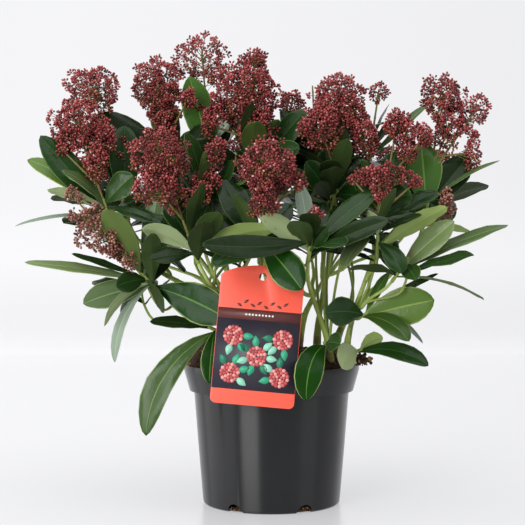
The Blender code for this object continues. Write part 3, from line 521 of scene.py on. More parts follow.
# a blossom's rings of dots: how many, how far out and how large
BLOSSOM_RINGS = ((15, 7.6, 1.75), (10, 4.7, 1.6), (5, 2.1, 1.35))
SPOKES = 7
SPOKE_TURN = 23.0
SPOKE_FOOT = 8.0
SPOKE_LEAF = (11.0, 6.4)
BAND_DOTS = 9
BAND_PITCH = 3.0
BAND_DOT = 0.95
GARLAND_LEAVES = 8
GARLAND_PITCH = 6.0
GARLAND_HEIGHT = 91.2
GARLAND_SWAY = (0.6, 1.3)
GARLAND_LEAF = (5.6, 2.3)
GARLAND_TURNS = (-30, 38)
DISC_SIDES = 12
LENS_STEPS = 8
LENS_FULLNESS = 0.85
CORAL = "#f45d47"
INKS = {
    "panel_ink": "#2b2733", "band_ink": "#5c2a26", "leaf_ink": "#2fa37a", "deep_leaf_ink": "#1f7a5c",
    "mint_ink": "#8fd3b6", "blossom_ink": "#d0605f", "deep_blossom_ink": "#b5474c", "pink_ink": "#ee9a92",
    "white_ink": "#f3ece8",
}
INK_SLOTS = list(INKS)
LEAF_INKS = INK_SLOTS.index("leaf_ink")
BLOSSOM_INKS = INK_SLOTS.index("blossom_ink")


def printed_shape(points, layer, slot):
    """One printed patch: a thin plate that stands a few hundredths of a millimetre proud of the card."""
    count = len(points)
    front = -LABEL_THICK - PRINT_STEP * layer
    co = np.array([(x * MM, y * MM, z * MM) for y in (front, -0.5 * LABEL_THICK) for x, z in points])
    i = np.arange(count)
    j = (i + 1) % count
    return co, [(np.array([i]), slot), (np.array([i[::-1] + count]), slot),
                (np.stack([i, i + count, j + count, j], axis=1), slot)]


def disc(x, z, radius):
    """Outline of a dot."""
    turns = [math.tau * k / DISC_SIDES for k in range(DISC_SIDES)]
    return [(x + radius * math.cos(turn), z + radius * math.sin(turn)) for turn in turns]


def lens(x, z, length, width, turn):
    """Outline of a simple leaf from its foot at x, z."""
    turn = math.radians(turn)
    edge = [(k / LENS_STEPS, width * 0.5 * math.sin(math.pi * (k / LENS_STEPS) ** LENS_FULLNESS))
            for k in range(LENS_STEPS + 1)]
    edge += [(t, -w) for t, w in edge[-2:0:-1]]
    return [(x + t * length * math.cos(turn) - w * math.sin(turn),
             z + t * length * math.sin(turn) + w * math.cos(turn)) for t, w in edge]


half = 0.5 * LABEL_WIDTH - PRINT_EDGE
prints = [printed_shape([(-half, low), (half, low), (half, high), (-half, high)], 1, slot)
          for slot, (low, high) in enumerate((PANEL, BAND))]
for number, (x, z) in enumerate(BLOSSOMS):
    for k in range(SPOKES):
        turn = 360.0 * k / SPOKES + SPOKE_TURN * number
        across, up = math.cos(math.radians(turn)), math.sin(math.radians(turn))
        foot = (x + SPOKE_FOOT * across, z + SPOKE_FOOT * up)
        tip = (foot[0] + SPOKE_LEAF[0] * across, foot[1] + SPOKE_LEAF[0] * up)
        if abs(tip[0]) < half - PRINT_MARGIN and PANEL[0] + PRINT_MARGIN < tip[1] < PANEL[1] - PRINT_MARGIN:
            ink = LEAF_INKS + (k + number) % 3
            prints.append(printed_shape(lens(*foot, *SPOKE_LEAF, turn), 2 + k % 2, ink))
    for ring, (count, away, size) in enumerate(BLOSSOM_RINGS):
        for k in range(count):
            turn = math.tau * (k + 0.5 * ring) / count + number
            spot = (x + away * math.cos(turn), z + away * math.sin(turn))
            prints.append(printed_shape(disc(*spot, size), 4 + ring, BLOSSOM_INKS + (k + ring) % 3))
for k in range(BAND_DOTS):
    spot = ((k - BAND_DOTS // 2) * BAND_PITCH, 0.5 * (BAND[0] + BAND[1]))
    prints.append(printed_shape(disc(*spot, BAND_DOT), 2, INK_SLOTS.index("white_ink")))
for k in range(GARLAND_LEAVES):
    foot = (GARLAND_PITCH * (k + 0.5 - 0.5 * GARLAND_LEAVES),
            GARLAND_HEIGHT + GARLAND_SWAY[0] * math.sin(GARLAND_SWAY[1] * k))
    prints.append(printed_shape(lens(*foot, *GARLAND_LEAF, GARLAND_TURNS[k % 2]), 1, 1))
print_mats = [new_material(name, colour, {"Roughness": 0.42, "IOR": 1.5})[0] for name, colour in INKS.items()]
label_print = join_copies("label_print", prints, print_mats, smooth=False)

rim_front = -RIM_RADIUS - LABEL_CLEAR
swing = (POT_TOP - LABEL_PLACE[1]) * math.tan(math.radians(LABEL_LEAN))
pose = (Matrix.Translation((0.0, (rim_front - swing) * MM, 0.0))
        @ Matrix.Translation((LABEL_PLACE[0] * MM, 0.0, LABEL_PLACE[1] * MM))
        @ Matrix.Rotation(math.radians(-LABEL_LEAN), 4, "X")
        @ Matrix.Rotation(math.radians(LABEL_TURN), 4, "Y"))
for piece, name in ((label, "card_label"), (label_print, "label_print")):
    piece.matrix_world = pose
    settle(piece, name)

# the tongue: a strip of the same card, folded over the rim with small round folds
over = POT_TOP + LABEL_CLEAR + 0.5 * LABEL_THICK
front, back = rim_front - 0.5 * LABEL_THICK, TONGUE_BACK - 0.5 * LABEL_THICK
tongue_path = [(front, over - TONGUE_START)] + [(front + aside, over - down) for aside, down in TONGUE_FOLD]
tongue_path += [(back - aside, over - down) for aside, down in reversed(TONGUE_FOLD)]
tongue_path.append((back, POT_TOP - TONGUE_DEPTH))
sides = (TONGUE_PLACE - 0.5 * TONGUE_WIDTH, TONGUE_PLACE + 0.5 * TONGUE_WIDTH)
bpy.ops.mesh.primitive_plane_add(size=1.0)
tongue = bpy.context.object
points = [Vector((x, y, z)) * MM for y, z in tongue_path for x in sides]
faces = [(2 * i, 2 * i + 1, 2 * i + 3, 2 * i + 2) for i in range(len(tongue_path) - 1)]
tongue.data.clear_geometry()
tongue.data.from_pydata(points, [], faces)
select_only(tongue)
bpy.ops.object.modifier_add(type="SOLIDIFY")
tongue.modifiers[-1].thickness = LABEL_THICK * MM
tongue.modifiers[-1].offset = 0.0
bpy.ops.object.modifier_apply(modifier=tongue.modifiers[-1].name)
bpy.ops.object.shade_smooth_by_angle(angle=math.radians(TONGUE_SMOOTH))
settle(tongue, "label_tongue")

# Coated card: a bright coral ink under a thin varnish, flat and even, with only the faintest tooth.
CARD_TOOTH = 1.111
card, _, _ = grained("coated_card", CORAL, {"Roughness": 0.42, "IOR": 1.5},
                     {"Scale": scale_of(CARD_TOOTH), "Detail": 4.0}, 0.12, 0.03)
for piece in (label, tongue):
    piece.data.materials.clear()
    piece.data.materials.append(card)
for piece in (label, label_print, tongue):
    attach(piece, "root")
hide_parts("label")


# Stems and side boughs
# Eleven stems rise from the soil, and thirteen boughs leave them part way up. The old wood at the foot is
# brown and ridged, and the younger wood is yellow-green with a raised scar wherever a leaf has dropped.
GAP = 0.3 * MM
SEAT_SINK = 1.5
STEM_RADIUS = 3.6
STEM_TIP = 2.1
BOUGH_RADIUS = 2.2
BOUGH_TIP = 1.7
STEM_FLARE = 1.3
PULL_AWAY = 0.40
PULL_HOME = 0.35
SEAT_STEP = 0.05
LIMB_SIDES = 6
LIMB_RINGS = 6
LEAFY_TWIG = 26.0
# stems that rise from the peat: name, foot, and the shoot at the tip
STEMS = (
    ("stem_front", (55, -45), "front_right"),
    ("stem_left_low", (-38, -48), "left_low"),
    ("stem_left_front", (-26, -24), "front_left"),
    ("stem_left", (-44, 4), "left"),
    ("stem_mid_left", (-24, 26), "mid_left"),
    ("stem_centre", (2, -2), "top_mid"),
    ("stem_mid_right", (44, 0), "mid_right"),
    ("stem_right", (62, 22), "right_top"),
    ("stem_right_front", (70, -26), "right_mid"),
    ("stem_back_left", (-34, 54), "back_left"),
    ("stem_back_right", (28, 54), "back_right_low"),
)

# side boughs: name, the stem it leaves and how far up, and the shoot at the tip
BOUGHS = (
    ("bough_front_mid", "stem_front", 0.66, "front_mid"),
    ("bough_inner_left", "stem_left_front", 0.62, "inner_left"),
    ("bough_left_top", "stem_left", 0.55, "left_top"),
    ("bough_top", "stem_mid_left", 0.52, "top"),
    ("bough_back_top", "stem_centre", 0.50, "back_top"),
    ("bough_mid_back", "stem_mid_right", 0.50, "mid_back"),
    ("bough_back_right", "stem_right", 0.45, "back_right"),
    ("bough_right_low", "stem_right_front", 0.42, "right_low"),
    ("bough_right_front", "stem_right_front", 0.62, "right_front"),
    ("bough_left_back", "stem_back_left", 0.40, "left_back"),
    ("bough_back_mid_left", "stem_back_left", 0.55, "back_mid_left"),
    ("bough_back_mid_right", "stem_back_right", 0.40, "back_mid_right"),
    ("bough_right_back", "stem_back_right", 0.55, "right_back"),
)

# Shoots, all sizes in millimetres. whorl: where the leaves end and the panicle begins.
# tiers: each dome of the panicle, as x, y, z of its middle, its width and its height.
# leaves: x, y, z of the tip, width, droop in degrees, and how squarely its face is turned to the
# front: 1 shows all of its upper side, 0 its edge, and a minus its underside. Last is its tone.
# fill: how many more leaves the rule adds round the twig. tint, loose and shade are for the buds alone:
# their colours, an open panicle, and how much darker it is.
SHOOTS = {
    "left_low": {
        "whorl": (-123, -50, 223),
        "tiers": ((-163, -55, 264, 54, 50), (-187, -50, 296, 18, 20), (-132, -68, 230, 20, 18)),
        "leaves": (
            (-40, -74, 180, 37, 14, 0.96, "rich"), (-173, -64, 194, 29, 16, 0.85, "grey_sheen"),
            (-143, -72, 141, 15, 62, 0.70, "silver"), (-154, -70, 170, 14, 60, -0.60, "pale"),
            (-229, -54, 232, 20, 8, 0.45, "pale"), (-186, -50, 240, 15, 6, 0.40, "dark"),
            (-141, -80, 210, 20, 20, 0.80, "dark"), (-100, -62, 186, 16, 20, -0.60, "deep"),
            (-140, -50, 184, 16, 10, 0.60, "dark"), (-159, -30, 273, 24, 12, 0.90, "dark"),
            (-108, -32, 300, 21, -8, 0.90, "grey_sheen"),
        ),
        "fill": 0,
        "tint": "brown",
        "loose": True,
    },
    "front_right": {
        "whorl": (36, -80, 254),
        "tiers": ((39, -95, 275, 18, 22),),
        "leaves": (
            (104, -96, 270, 24, 10, 0.72, "deep"), (-8, -100, 275, 20, 18, -0.85, "pale"),
            (49, -92, 264, 16, 15, 0.80, "mid"), (99, -66, 299, 24, 10, 0.72, "dark"),
            (26, -62, 305, 17, 0, 0.90, "silver"), (-61, -122, 248, 22, -14, 0.90, "deep"),
        ),
        "fill": 0,
    },
    "front_mid": {
        "whorl": (-10, -72, 256),
        "tiers": ((-5, -100, 318, 52, 52), (-7, -108, 285, 34, 32), (25, -96, 304, 20, 24)),
        "leaves": (
            (-64, -58, 291, 30, 10, 0.90, "deep"), (-47, -44, 309, 30, 10, 0.90, "deep"),
            (17, -40, 286, 24, 15, 0.80, "dark"), (26, -96, 208, 32, 12, 0.97, "rich"),
        ),
        "fill": 2,
        "shade": 0.8,
    },
    "front_left": {
        "whorl": (-77, -62, 257),
        "tiers": ((-103, -70, 330, 60, 50), (-104, -84, 298, 48, 32)),
        "leaves": (
            (-109, -84, 235, 19, 14, 0.70, "deep"), (-117, -82, 263, 22, 22, -0.75, "pale"),
            (3, -84, 262, 22, 18, -0.75, "light"), (-62, -50, 290, 22, 10, 0.80, "deep"),
            (-97, -40, 286, 22, 10, 0.80, "dark"), (-113, -50, 276, 20, 10, 0.60, "dark"),
        ),
        "fill": 3,
        "shade": 0.5,
    },
    "inner_left": {
        "whorl": (-60, -38, 286),
        "tiers": ((-53, -25, 338, 27, 32), (-65, -57, 295, 26, 30)),
        "leaves": (
            (-36, -24, 330, 20, 8, 0.70, "dark"), (-86, -20, 327, 26, 10, 0.90, "dark"),
            (-56, -8, 319, 26, 8, 0.90, "deep"), (-21, -40, 311, 10, 20, 0.40, "fresh"),
        ),
        "fill": 4,
    },
    "left": {
        "whorl": (-160, -26, 291),
        "tiers": (
            (-188, -15, 366, 50, 48), (-199, -27, 339, 17, 22), (-165, -32, 326, 26, 44),
            (-156, -16, 351, 18, 40),
        ),
        "leaves": (
            (-242, -34, 266, 12, 30, 0.35, "silver"), (-219, -28, 352, 30, -4, 0.90, "dark"),
            (-236, -4, 331, 26, 30, 0.75, "light"), (-202, -36, 313, 20, 45, 0.55, "grey_sheen"),
            (-210, -42, 300, 17, 16, -0.60, "pale"), (-104, -48, 269, 22, 15, 0.50, "dark"),
            (-131, -34, 314, 28, 12, 0.90, "mid"),
        ),
        "fill": 2,
    },
    "left_top": {
        "whorl": (-148, 10, 302),
        "tiers": ((-178, 28, 404, 54, 46),),
        "leaves": (
            (-145, 22, 367, 32, 6, 0.95, "dark"), (-170, 96, 352, 29, 22, 0.20, "mid"),
            (-215, 64, 330, 28, 18, 0.30, "mid"),
        ),
        "fill": 5,
    },
    "mid_left": {
        "whorl": (-98, 42, 340),
        "tiers": ((-116, 45, 411, 51, 58), (-107, 38, 370, 28, 38), (-82, 24, 394, 22, 28)),
        "leaves": (
            (-167, 30, 388, 38, 4, 0.90, "deep"), (-118, 86, 408, 30, 4, 0.90, "dark"),
            (-60, 30, 368, 28, 12, 0.80, "deep"), (-126, 100, 366, 28, 20, 0.20, "mid"),
        ),
        "fill": 5,
    },
    "top": {
        "whorl": (-62, 52, 348),
        "tiers": ((-70, 60, 439, 60, 54),),
        "leaves": (
            (-82, 40, 418, 33, 4, 0.97, "fresh"), (-36, 52, 388, 28, 4, 0.90, "silver"),
            (-62, 116, 388, 28, 20, 0.20, "mid"),
        ),
        "fill": 6,
        "loose": True,
    },
    "top_mid": {
        "whorl": (-20, 5, 328),
        "tiers": (
            (-24, 5, 396, 70, 66), (-16, 5, 431, 30, 24), (-12, -8, 356, 40, 36), (-62, -4, 366, 18, 36),
        ),
        "leaves": (
            (34, 12, 382, 30, 10, 0.85, "dark"), (-78, 0, 350, 28, 14, 0.80, "deep"),
            (26, -34, 340, 28, 16, 0.70, "dark"), (-30, -60, 316, 28, 24, 0.60, "mid"),
        ),
        "fill": 5,
    },
    "mid_right": {
        "whorl": (62, 0, 304),
        "tiers": ((65, 0, 390, 52, 57), (46, -22, 360, 44, 44), (90, -10, 351, 34, 44)),
        "leaves": (
            (62, 16, 348, 40, 4, 0.97, "dark"), (33, -20, 328, 24, 8, 0.90, "dark"),
            (91, -6, 333, 24, 12, 0.85, "dark"), (83, -40, 294, 24, 14, 0.70, "dark"),
            (10, -30, 318, 26, 12, 0.60, "mid"),
        ),
        "fill": 4,
    },
    "mid_back": {
        "whorl": (46, 68, 346),
        "tiers": ((43, 80, 415, 44, 46),),
        "leaves": ((10, 66, 388, 28, 10, 0.80, "deep"), (84, 60, 388, 26, 10, 0.80, "dark")),
        "fill": 6,
    },
    "right_mid": {
        "whorl": (108, -15, 290),
        "tiers": ((121, -5, 366, 40, 44), (130, -16, 336, 27, 28), (146, -22, 352, 20, 30)),
        "leaves": (
            (159, -22, 299, 22, 10, 0.70, "dark"), (76, -30, 312, 22, 10, 0.80, "dark"),
            (129, 0, 324, 24, 8, 0.90, "dark"), (120, -62, 290, 24, 30, 0.40, "mid"),
        ),
        "fill": 4,
    },
    "right_top": {
        "whorl": (153, 2, 298),
        "tiers": (
            (168, 24, 400, 42, 42), (200, 10, 381, 36, 42), (172, 4, 360, 38, 46), (195, 0, 339, 23, 48),
        ),
        "leaves": (
            (147, 14, 350, 38, 4, 0.98, "fresh"), (187, 10, 341, 31, 4, 0.96, "deep"),
            (220, -8, 330, 11, 28, 0.35, "grey_sheen"), (173, -16, 273, 28, 20, 0.90, "dark"),
            (196, 58, 338, 27, 20, 0.20, "mid"),
        ),
        "fill": 4,
        "loose": True,
    },
    "right_low": {
        "whorl": (128, -42, 236),
        "tiers": ((163, -45, 286, 21, 38),),
        "leaves": (
            (222, -38, 267, 23, 16, 0.45, "grey_sheen"), (169, -52, 270, 26, 6, 0.85, "pale"),
            (130, -84, 216, 18, 30, 0.80, "mid"), (152, 10, 262, 26, 18, 0.30, "mid"),
        ),
        "fill": 1,
        "tint": "brown",
    },
    "right_front": {
        "whorl": (98, -58, 262),
        "tiers": (
            (99, -62, 314, 30, 25), (101, -70, 291, 20, 16), (133, -54, 306, 18, 18), (76, -42, 310, 17, 16),
        ),
        "leaves": (
            (161, -66, 282, 22, 14, -0.75, "light"), (151, -40, 279, 20, 10, -0.60, "light"),
            (118, -74, 222, 21, 40, 0.85, "dark"), (89, -70, 279, 14, 30, -0.60, "pale"),
            (65, -70, 264, 14, 10, 0.60, "deep"),
        ),
        "fill": 3,
    },
    "back_right": {
        "whorl": (104, 86, 354),
        "tiers": ((113, 95, 410, 28, 30),),
        "leaves": ((164, 84, 398, 17, 4, 0.50, "grey_sheen"), (100, 150, 398, 28, 20, 0.10, "mid")),
        "fill": 6,
        "loose": True,
    },
    "back_top": {
        "whorl": (6, 66, 336),
        "tiers": ((22, 78, 396, 34, 36),),
        "leaves": ((6, 132, 372, 28, 20, 0.10, "mid"),),
        "fill": 7,
    },
    "back_left": {
        "whorl": (-106, 106, 302),
        "tiers": ((-124, 130, 356, 52, 44),),
        "leaves": (),
        "fill": 9,
    },
    "left_back": {
        "whorl": (-158, 66, 276),
        "tiers": ((-186, 80, 322, 46, 40),),
        "leaves": (),
        "fill": 9,
    },
    "back_mid_left": {
        "whorl": (-42, 134, 300),
        "tiers": ((-46, 160, 350, 50, 44),),
        "leaves": (),
        "fill": 9,
    },
    "back_mid_right": {
        "whorl": (40, 140, 294),
        "tiers": ((44, 170, 342, 50, 44),),
        "leaves": (),
        "fill": 9,
    },
    "back_right_low": {
        "whorl": (106, 126, 296),
        "tiers": ((124, 152, 342, 46, 42),),
        "leaves": (),
        "fill": 9,
    },
    "right_back": {
        "whorl": (150, 66, 284),
        "tiers": ((176, 84, 330, 44, 40),),
        "leaves": (),
        "fill": 9,
    },
}


def heading_vector(heading, rise):
    """Unit direction from a compass heading and a rise above level, in degrees."""
    heading, rise = math.radians(heading), math.radians(rise)
    return Vector((math.cos(rise) * math.cos(heading), math.cos(rise) * math.sin(heading), math.sin(rise)))


def tube(path, radii, sides, ways=None):
    """A plain tube with flat ends, as the frame's limbs have; ways are the directions that the ends face."""
    points = []
    count = len(path)
    steps = [(path[min(i + 1, count - 1)] - path[max(i - 1, 0)]).normalized() for i in range(count)]
    if ways:
        steps[0], steps[-1] = ways
    across = steps[0].orthogonal().normalized()
    for i, ahead in enumerate(steps):
        across = (across - ahead * across.dot(ahead)).normalized()
        other = ahead.cross(across)
        for k in range(sides):
            turn = math.tau * k / sides
            points.append(path[i] + (across * math.cos(turn) + other * math.sin(turn)) * radii[i])
    faces = [tuple(reversed(range(sides)))]
    for i in range(count - 1):
        for k in range(sides):
            a = i * sides + k
            b = i * sides + (k + 1) % sides
            faces.append((a, b, b + sides, a + sides))
    faces.append(tuple(range((count - 1) * sides, count * sides)))
    return points, faces


def bend(start, start_way, end, end_way, count):
    """Points along a smooth limb that leaves and arrives in given directions."""
    reach = (end - start).length
    first = start + start_way * PULL_AWAY * reach
    second = end - end_way * PULL_HOME * reach
    path = []
    for i in range(count):
        t = i / (count - 1)
        s = 1.0 - t
        path.append(start * s ** 3 + first * 3 * s * s * t + second * 3 * s * t * t + end * t ** 3)
    return path


def along(path, share):
    """Point and direction at a share of a path."""
    place = share * (len(path) - 1)
    i = min(int(place), len(path) - 2)
    step = path[i + 1] - path[i]
    return path[i] + step * (place - i), step.normalized()


def shoot_way(shoot):
    """Direction of the leafy twig: towards the middle of the panicle's first dome."""
    return (Vector(shoot["tiers"][0][:3]) - Vector(shoot["whorl"])).normalized()


def taper(first, last, count):
    """Radii from one end of a limb to the other, from millimetres."""
    return [(first + (last - first) * i / (count - 1)) * MM for i in range(count)]


def beside(limb, share, target, route, section):
    """Start and direction of a side limb: beside its parent, moved out until it has the gap."""
    path, radii, _, ways = limb
    parent = BVHTree.FromPolygons(*tube(path, radii, LIMB_SIDES, ways))
    point, ahead = along(path, share)
    out = target - point
    out = (out - ahead * out.dot(ahead)).normalized()
    apart = radii[-1]
    while True:
        start = point + out * apart
        start_way = (ahead * 0.5 + (target - start).normalized()).normalized()
        reach = route(start, start_way)
        foot = reach[0] + (reach[0] - reach[1]).normalized() * GAP
        grown = tube([foot, *reach[1:]], [radius + GAP for radius in section[0]], section[1])
        if not parent.overlap(BVHTree.FromPolygons(*grown)):
            return start, start_way
        apart += SEAT_STEP * MM


# the limbs as the frame has them: path, radii, shoot at the tip, directions of the two ends
limbs = {}
joints = {}
for name, (x, y), shoot_name in STEMS:
    shoot = SHOOTS[shoot_name]
    way = shoot_way(shoot)
    end = (Vector(shoot["whorl"]) - way * LEAFY_TWIG) * MM
    ground = min(peat_height(x + dx, y + dy) for dx in (-5, 0, 5) for dy in (-5, 0, 5)) - SEAT_SINK
    foot = Vector((x, y, ground)) * MM
    radii = taper(STEM_RADIUS, STEM_TIP, LIMB_RINGS)
    radii[0] *= STEM_FLARE
    limbs[name] = (bend(foot, UP, end, way, LIMB_RINGS), radii, shoot_name, (UP, way))
for name, stem, share, shoot_name in BOUGHS:
    shoot = SHOOTS[shoot_name]
    way = shoot_way(shoot)
    end = (Vector(shoot["whorl"]) - way * LEAFY_TWIG) * MM
    radii = taper(BOUGH_RADIUS, BOUGH_TIP, LIMB_RINGS)

    def route(start, start_way):
        return bend(start, start_way, end, way, LIMB_RINGS)

    start, start_way = beside(limbs[stem], share, end, route, (radii, LIMB_SIDES))
    limbs[name] = (route(start, start_way), radii, shoot_name, (start_way, way))
    joints[name] = along(limbs[stem][0], share)


# how a limb's skin is drawn, in millimetres: its rings, ridges and roughness, and its leaf scars
RING_STEP = 1.6
RIDGES = 5
RIDGE_TWIST = 9.0
ROUGH_SHARE = 1.6
ROUGH_PITCH = 0.22
ROUGH_LAYER = 7.1
SCAR_FIRST = (2.0, 8.0)
SCAR_STEP = (8.0, 14.0)
SCAR_TURN = 2.4
SCAR_HEIGHT = 0.42
SCAR_LENGTH = 0.9
SCAR_SPREAD = 0.55
SCAR_RING = 0.12
END_POINTS = (0.2, 0.35)


def smooth_path(points, step):
    """A path drawn again through its points, in even short steps."""
    points = np.array([list(point) for point in points])
    legs = np.linalg.norm(np.diff(points, axis=0), axis=1)
    far = np.concatenate(([0.0], np.cumsum(legs)))
    count = max(4, int(far[-1] / step))
    at = np.linspace(0.0, far[-1], count)
    slopes = np.gradient(points, far, axis=0)
    i = np.clip(np.searchsorted(far, at, side="right") - 1, 0, len(far) - 2)
    span = (far[i + 1] - far[i])[:, None]
    t = ((at - far[i]) / span[:, 0])[:, None]
    return (points[i] * (1 + 2 * t) * (1 - t) ** 2 + slopes[i] * span * t * (1 - t) ** 2
            + points[i + 1] * t * t * (3 - 2 * t) + slopes[i + 1] * span * t * t * (t - 1)), at


def woody_tube(points, radii, sides, seed, ridge=0.05, scar=SCAR_HEIGHT, step=RING_STEP):
    """A limb's skin: ridged, uneven, with leaf scars at turning angles; closed by a point at each end."""
    path, at = smooth_path(points, step * MM)
    rng = random.Random(seed)
    count = len(path)
    ahead = np.gradient(path, axis=0)
    ahead /= np.linalg.norm(ahead, axis=1, keepdims=True)
    radius = np.interp(np.linspace(0, 1, count), np.linspace(0, 1, len(radii)), radii)
    turns = np.linspace(0.0, math.tau, sides, endpoint=False)
    skin = np.repeat(radius[:, None], sides, axis=1)
    phase = rng.uniform(0, math.tau)
    layer = ROUGH_LAYER * (seed % 50)
    rough = np.array([[noise.noise(Vector((math.cos(a), math.sin(a), s / MM * ROUGH_PITCH + layer)))
                       for a in turns] for s in at])
    waves = np.sin(RIDGES * turns[None] + phase + at[:, None] / (RIDGE_TWIST * MM))
    skin *= 1.0 + ridge * waves + ROUGH_SHARE * ridge * rough
    spot, turn = rng.uniform(*SCAR_FIRST), rng.uniform(0, math.tau)
    while spot * MM < at[-1] - SCAR_FIRST[0] * MM and scar:
        turn += SCAR_TURN
        gap = np.abs((turns - turn + math.pi) % math.tau - math.pi)
        along_it = np.exp(-((at - spot * MM) / (SCAR_LENGTH * MM)) ** 2)
        skin += along_it[:, None] * (SCAR_RING + scar * np.exp(-(gap / SCAR_SPREAD) ** 2)[None]) * MM
        spot += rng.uniform(*SCAR_STEP)
    across = np.array(Vector(ahead[0]).orthogonal().normalized())
    frames = []
    for way in ahead:
        across = across - way * across.dot(way)
        across /= np.linalg.norm(across)
        frames.append((across, np.cross(way, across)))
    frames = np.array(frames)
    ring = (frames[:, 0, None] * np.cos(turns)[None, :, None]
            + frames[:, 1, None] * np.sin(turns)[None, :, None])
    skin_points = path[:, None] + ring * skin[..., None]
    ends = np.stack([path[0] - ahead[0] * END_POINTS[0] * radius[0],
                     path[-1] + ahead[-1] * END_POINTS[1] * radius[-1]])
    co = np.concatenate([skin_points.reshape(-1, 3), ends])
    k = np.arange(sides)
    j = (k + 1) % sides
    rows = np.arange(count - 1)[:, None] * sides
    quads = np.stack([rows + k, rows + j, rows + sides + j, rows + sides + k], axis=-1).reshape(-1, 4)
    last = (count - 1) * sides
    caps = np.concatenate([np.stack([j, k, np.full(sides, count * sides)], axis=1),
                           np.stack([last + k, last + j, np.full(sides, count * sides + 1)], axis=1)])
    return co, quads, caps


# Living bark dealt out by height: woody brown at the foot, olive above, then bright yellow-green.
SKIN_SHARE = 0.78
LIMB_FACES = 14
SUNK = 7.0
FOOT_GIRTHS = (1.2, 1.05)
COLLAR_DEPTH = 2.5
COLLAR_GIRTHS = (0.9, 1.28)
BARK_NAMES = ("old_wood_bark", "ripening_bark", "green_bark", "young_green_bark")
BARK_TONES = ("#4e4029", "#69752f", "#7f9a36", "#93ae48")
BARK_LIGHTS = ("#8a7350", "#8f8a52", "#a3b463", "#b8c77c")
BARK_RELIEFS = (0.8, 0.5, 0.3, 0.2)
BARK_HEIGHTS = (147.0, 160.0, 205.0)
BARK_MIX = 24.2
BARK_DRIFT = 90.0
BARK_STREAK = 1.613
limb_entries = []
for seed, (name, (path, radii, _, _)) in enumerate(limbs.items()):
    if name in joints:
        # the bough grows out of its parent's middle through a short collar
        heart, ahead = joints[name]
        foot, shares = heart - ahead * COLLAR_DEPTH * MM, COLLAR_GIRTHS
    else:
        foot, shares = path[0] - UP * SUNK * MM, FOOT_GIRTHS
    girths = [radii[0] * share for share in shares] + radii[1:]
    co, quads, caps = woody_tube([foot, *path], [SKIN_SHARE * girth for girth in girths], LIMB_FACES, seed)
    middles = co[quads].mean(axis=1)
    drift = np.array([noise.noise(Vector(point) * BARK_DRIFT) for point in middles])
    level = np.searchsorted(BARK_HEIGHTS, middles[:, 2] / MM + BARK_MIX * drift)
    limb_entries.append((co, [(quads, level), (caps, 3)]))


def bark_finish(name, colour, light, relief):
    """Bark of one tone: streaked along the limb, with pores, and a dull wax on the young wood."""
    mat, shader, streak = grained(
        name, colour, {"Roughness": 0.55, "IOR": 1.45, "Specular IOR Level": 0.4},
        {"Scale": scale_of(BARK_STREAK), "Detail": 5.0, "Roughness": 0.65}, relief, 0.25)
    tint = add_node(mat, "ShaderNodeMix", {"data_type": "RGBA", 6: linear(colour), 7: linear(light)},
                    {0: streak.outputs["Fac"]})
    feed(mat, shader, "Base Color", tint.outputs[2])
    return mat


bark_mats = [bark_finish(*finish) for finish in zip(BARK_NAMES, BARK_TONES, BARK_LIGHTS, BARK_RELIEFS)]
stems_skin = join_copies("stems_and_boughs", limb_entries, bark_mats)
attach(stems_skin, "root")
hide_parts(*limbs)


# Leafy twigs, and the shoots that they carry
# The last inch of each limb is a green twig, closely set with leaves and ending in the panicle's stalk. Low
# on three stems a few sprouts carry leaves alone.
RACHIS_RADIUS = 1.5
RACHIS_STARTS = (0.12, 0.08)
HUB_DEPTH = 0.34
GOLDEN = math.pi * (3.0 - math.sqrt(5.0))
SEED = 17
TWIG_SIDES = 4
TWIG_FACES = 10
TWIG_SINK = 1.5
TWIG_OVERRUN = 0.05
TWIG_SKIN = (0.04, 0.5, 1.3)
# Sprouts: low twigs of leaves with no panicle, beside a stem at a share of its height.
SPROUTS = {
    "sprout_left": {
        "stem": "stem_left_low", "share": 0.22, "heading": 200, "rise": 25, "length": 14,
        "leaves": (
            (-115, -66, 73, 27, 66, 0.95, "olive"), (-57, -80, 123, 18, 40, 0.95, "rich"),
            (-113, -50, 177, 18, 14, 0.60, "deep"),
        ),
    },
    "sprout_front": {
        "stem": "stem_front", "share": 0.16, "heading": -110, "rise": 30, "length": 11,
        "leaves": ((31, -91, 108, 27, 100, 0.97, "rich"), (62, -70, 157, 20, 40, 0.60, "mid")),
    },
    "sprout_right": {
        "stem": "stem_right_front", "share": 0.34, "heading": -20, "rise": 30, "length": 12,
        "leaves": (
            (149, -44, 205, 37, 4, 0.98, "light"), (126, -60, 159, 22, 56, 0.70, "olive"),
            (140, -46, 155, 11, 66, 0.60, "silver"), (50, -58, 185, 28, 24, 0.90, "dark"),
            (111, -24, 222, 13, 8, 0.70, "fresh"), (159, -20, 221, 12, 14, 0.50, "dark"),
        ),
    },
    "sprout_right_low": {
        "stem": "stem_right_front", "share": 0.10, "heading": -15, "rise": 30, "length": 11,
        "leaves": (
            (146, -44, 135, 22, 54, 0.72, "dark"), (63, -84, 136, 24, 50, -0.90, "pale"),
            (105, -30, 160, 20, 40, -0.80, "light"),
        ),
    },
}

plans = []
for name, (path, radii, shoot_name, _) in limbs.items():
    shoot = SHOOTS[shoot_name]
    start = path[-1] + shoot_way(shoot) * GAP
    plans.append(("shoot_" + shoot_name, shoot, start, Vector(shoot["whorl"]) * MM, radii[-1]))
for name, sprout in SPROUTS.items():
    way = heading_vector(sprout["heading"], sprout["rise"])
    limb = limbs[sprout["stem"]]
    point, _ = along(limb[0], sprout["share"])
    radii = [BOUGH_TIP * MM] * 2

    def route(start, _):
        return [start, start + way * sprout["length"] * MM]

    start, _ = beside(limb, sprout["share"], point + way, route, (radii, TWIG_SIDES))
    plans.append((name, sprout, *route(start, way), radii[0]))
    joints[name] = (point, way)

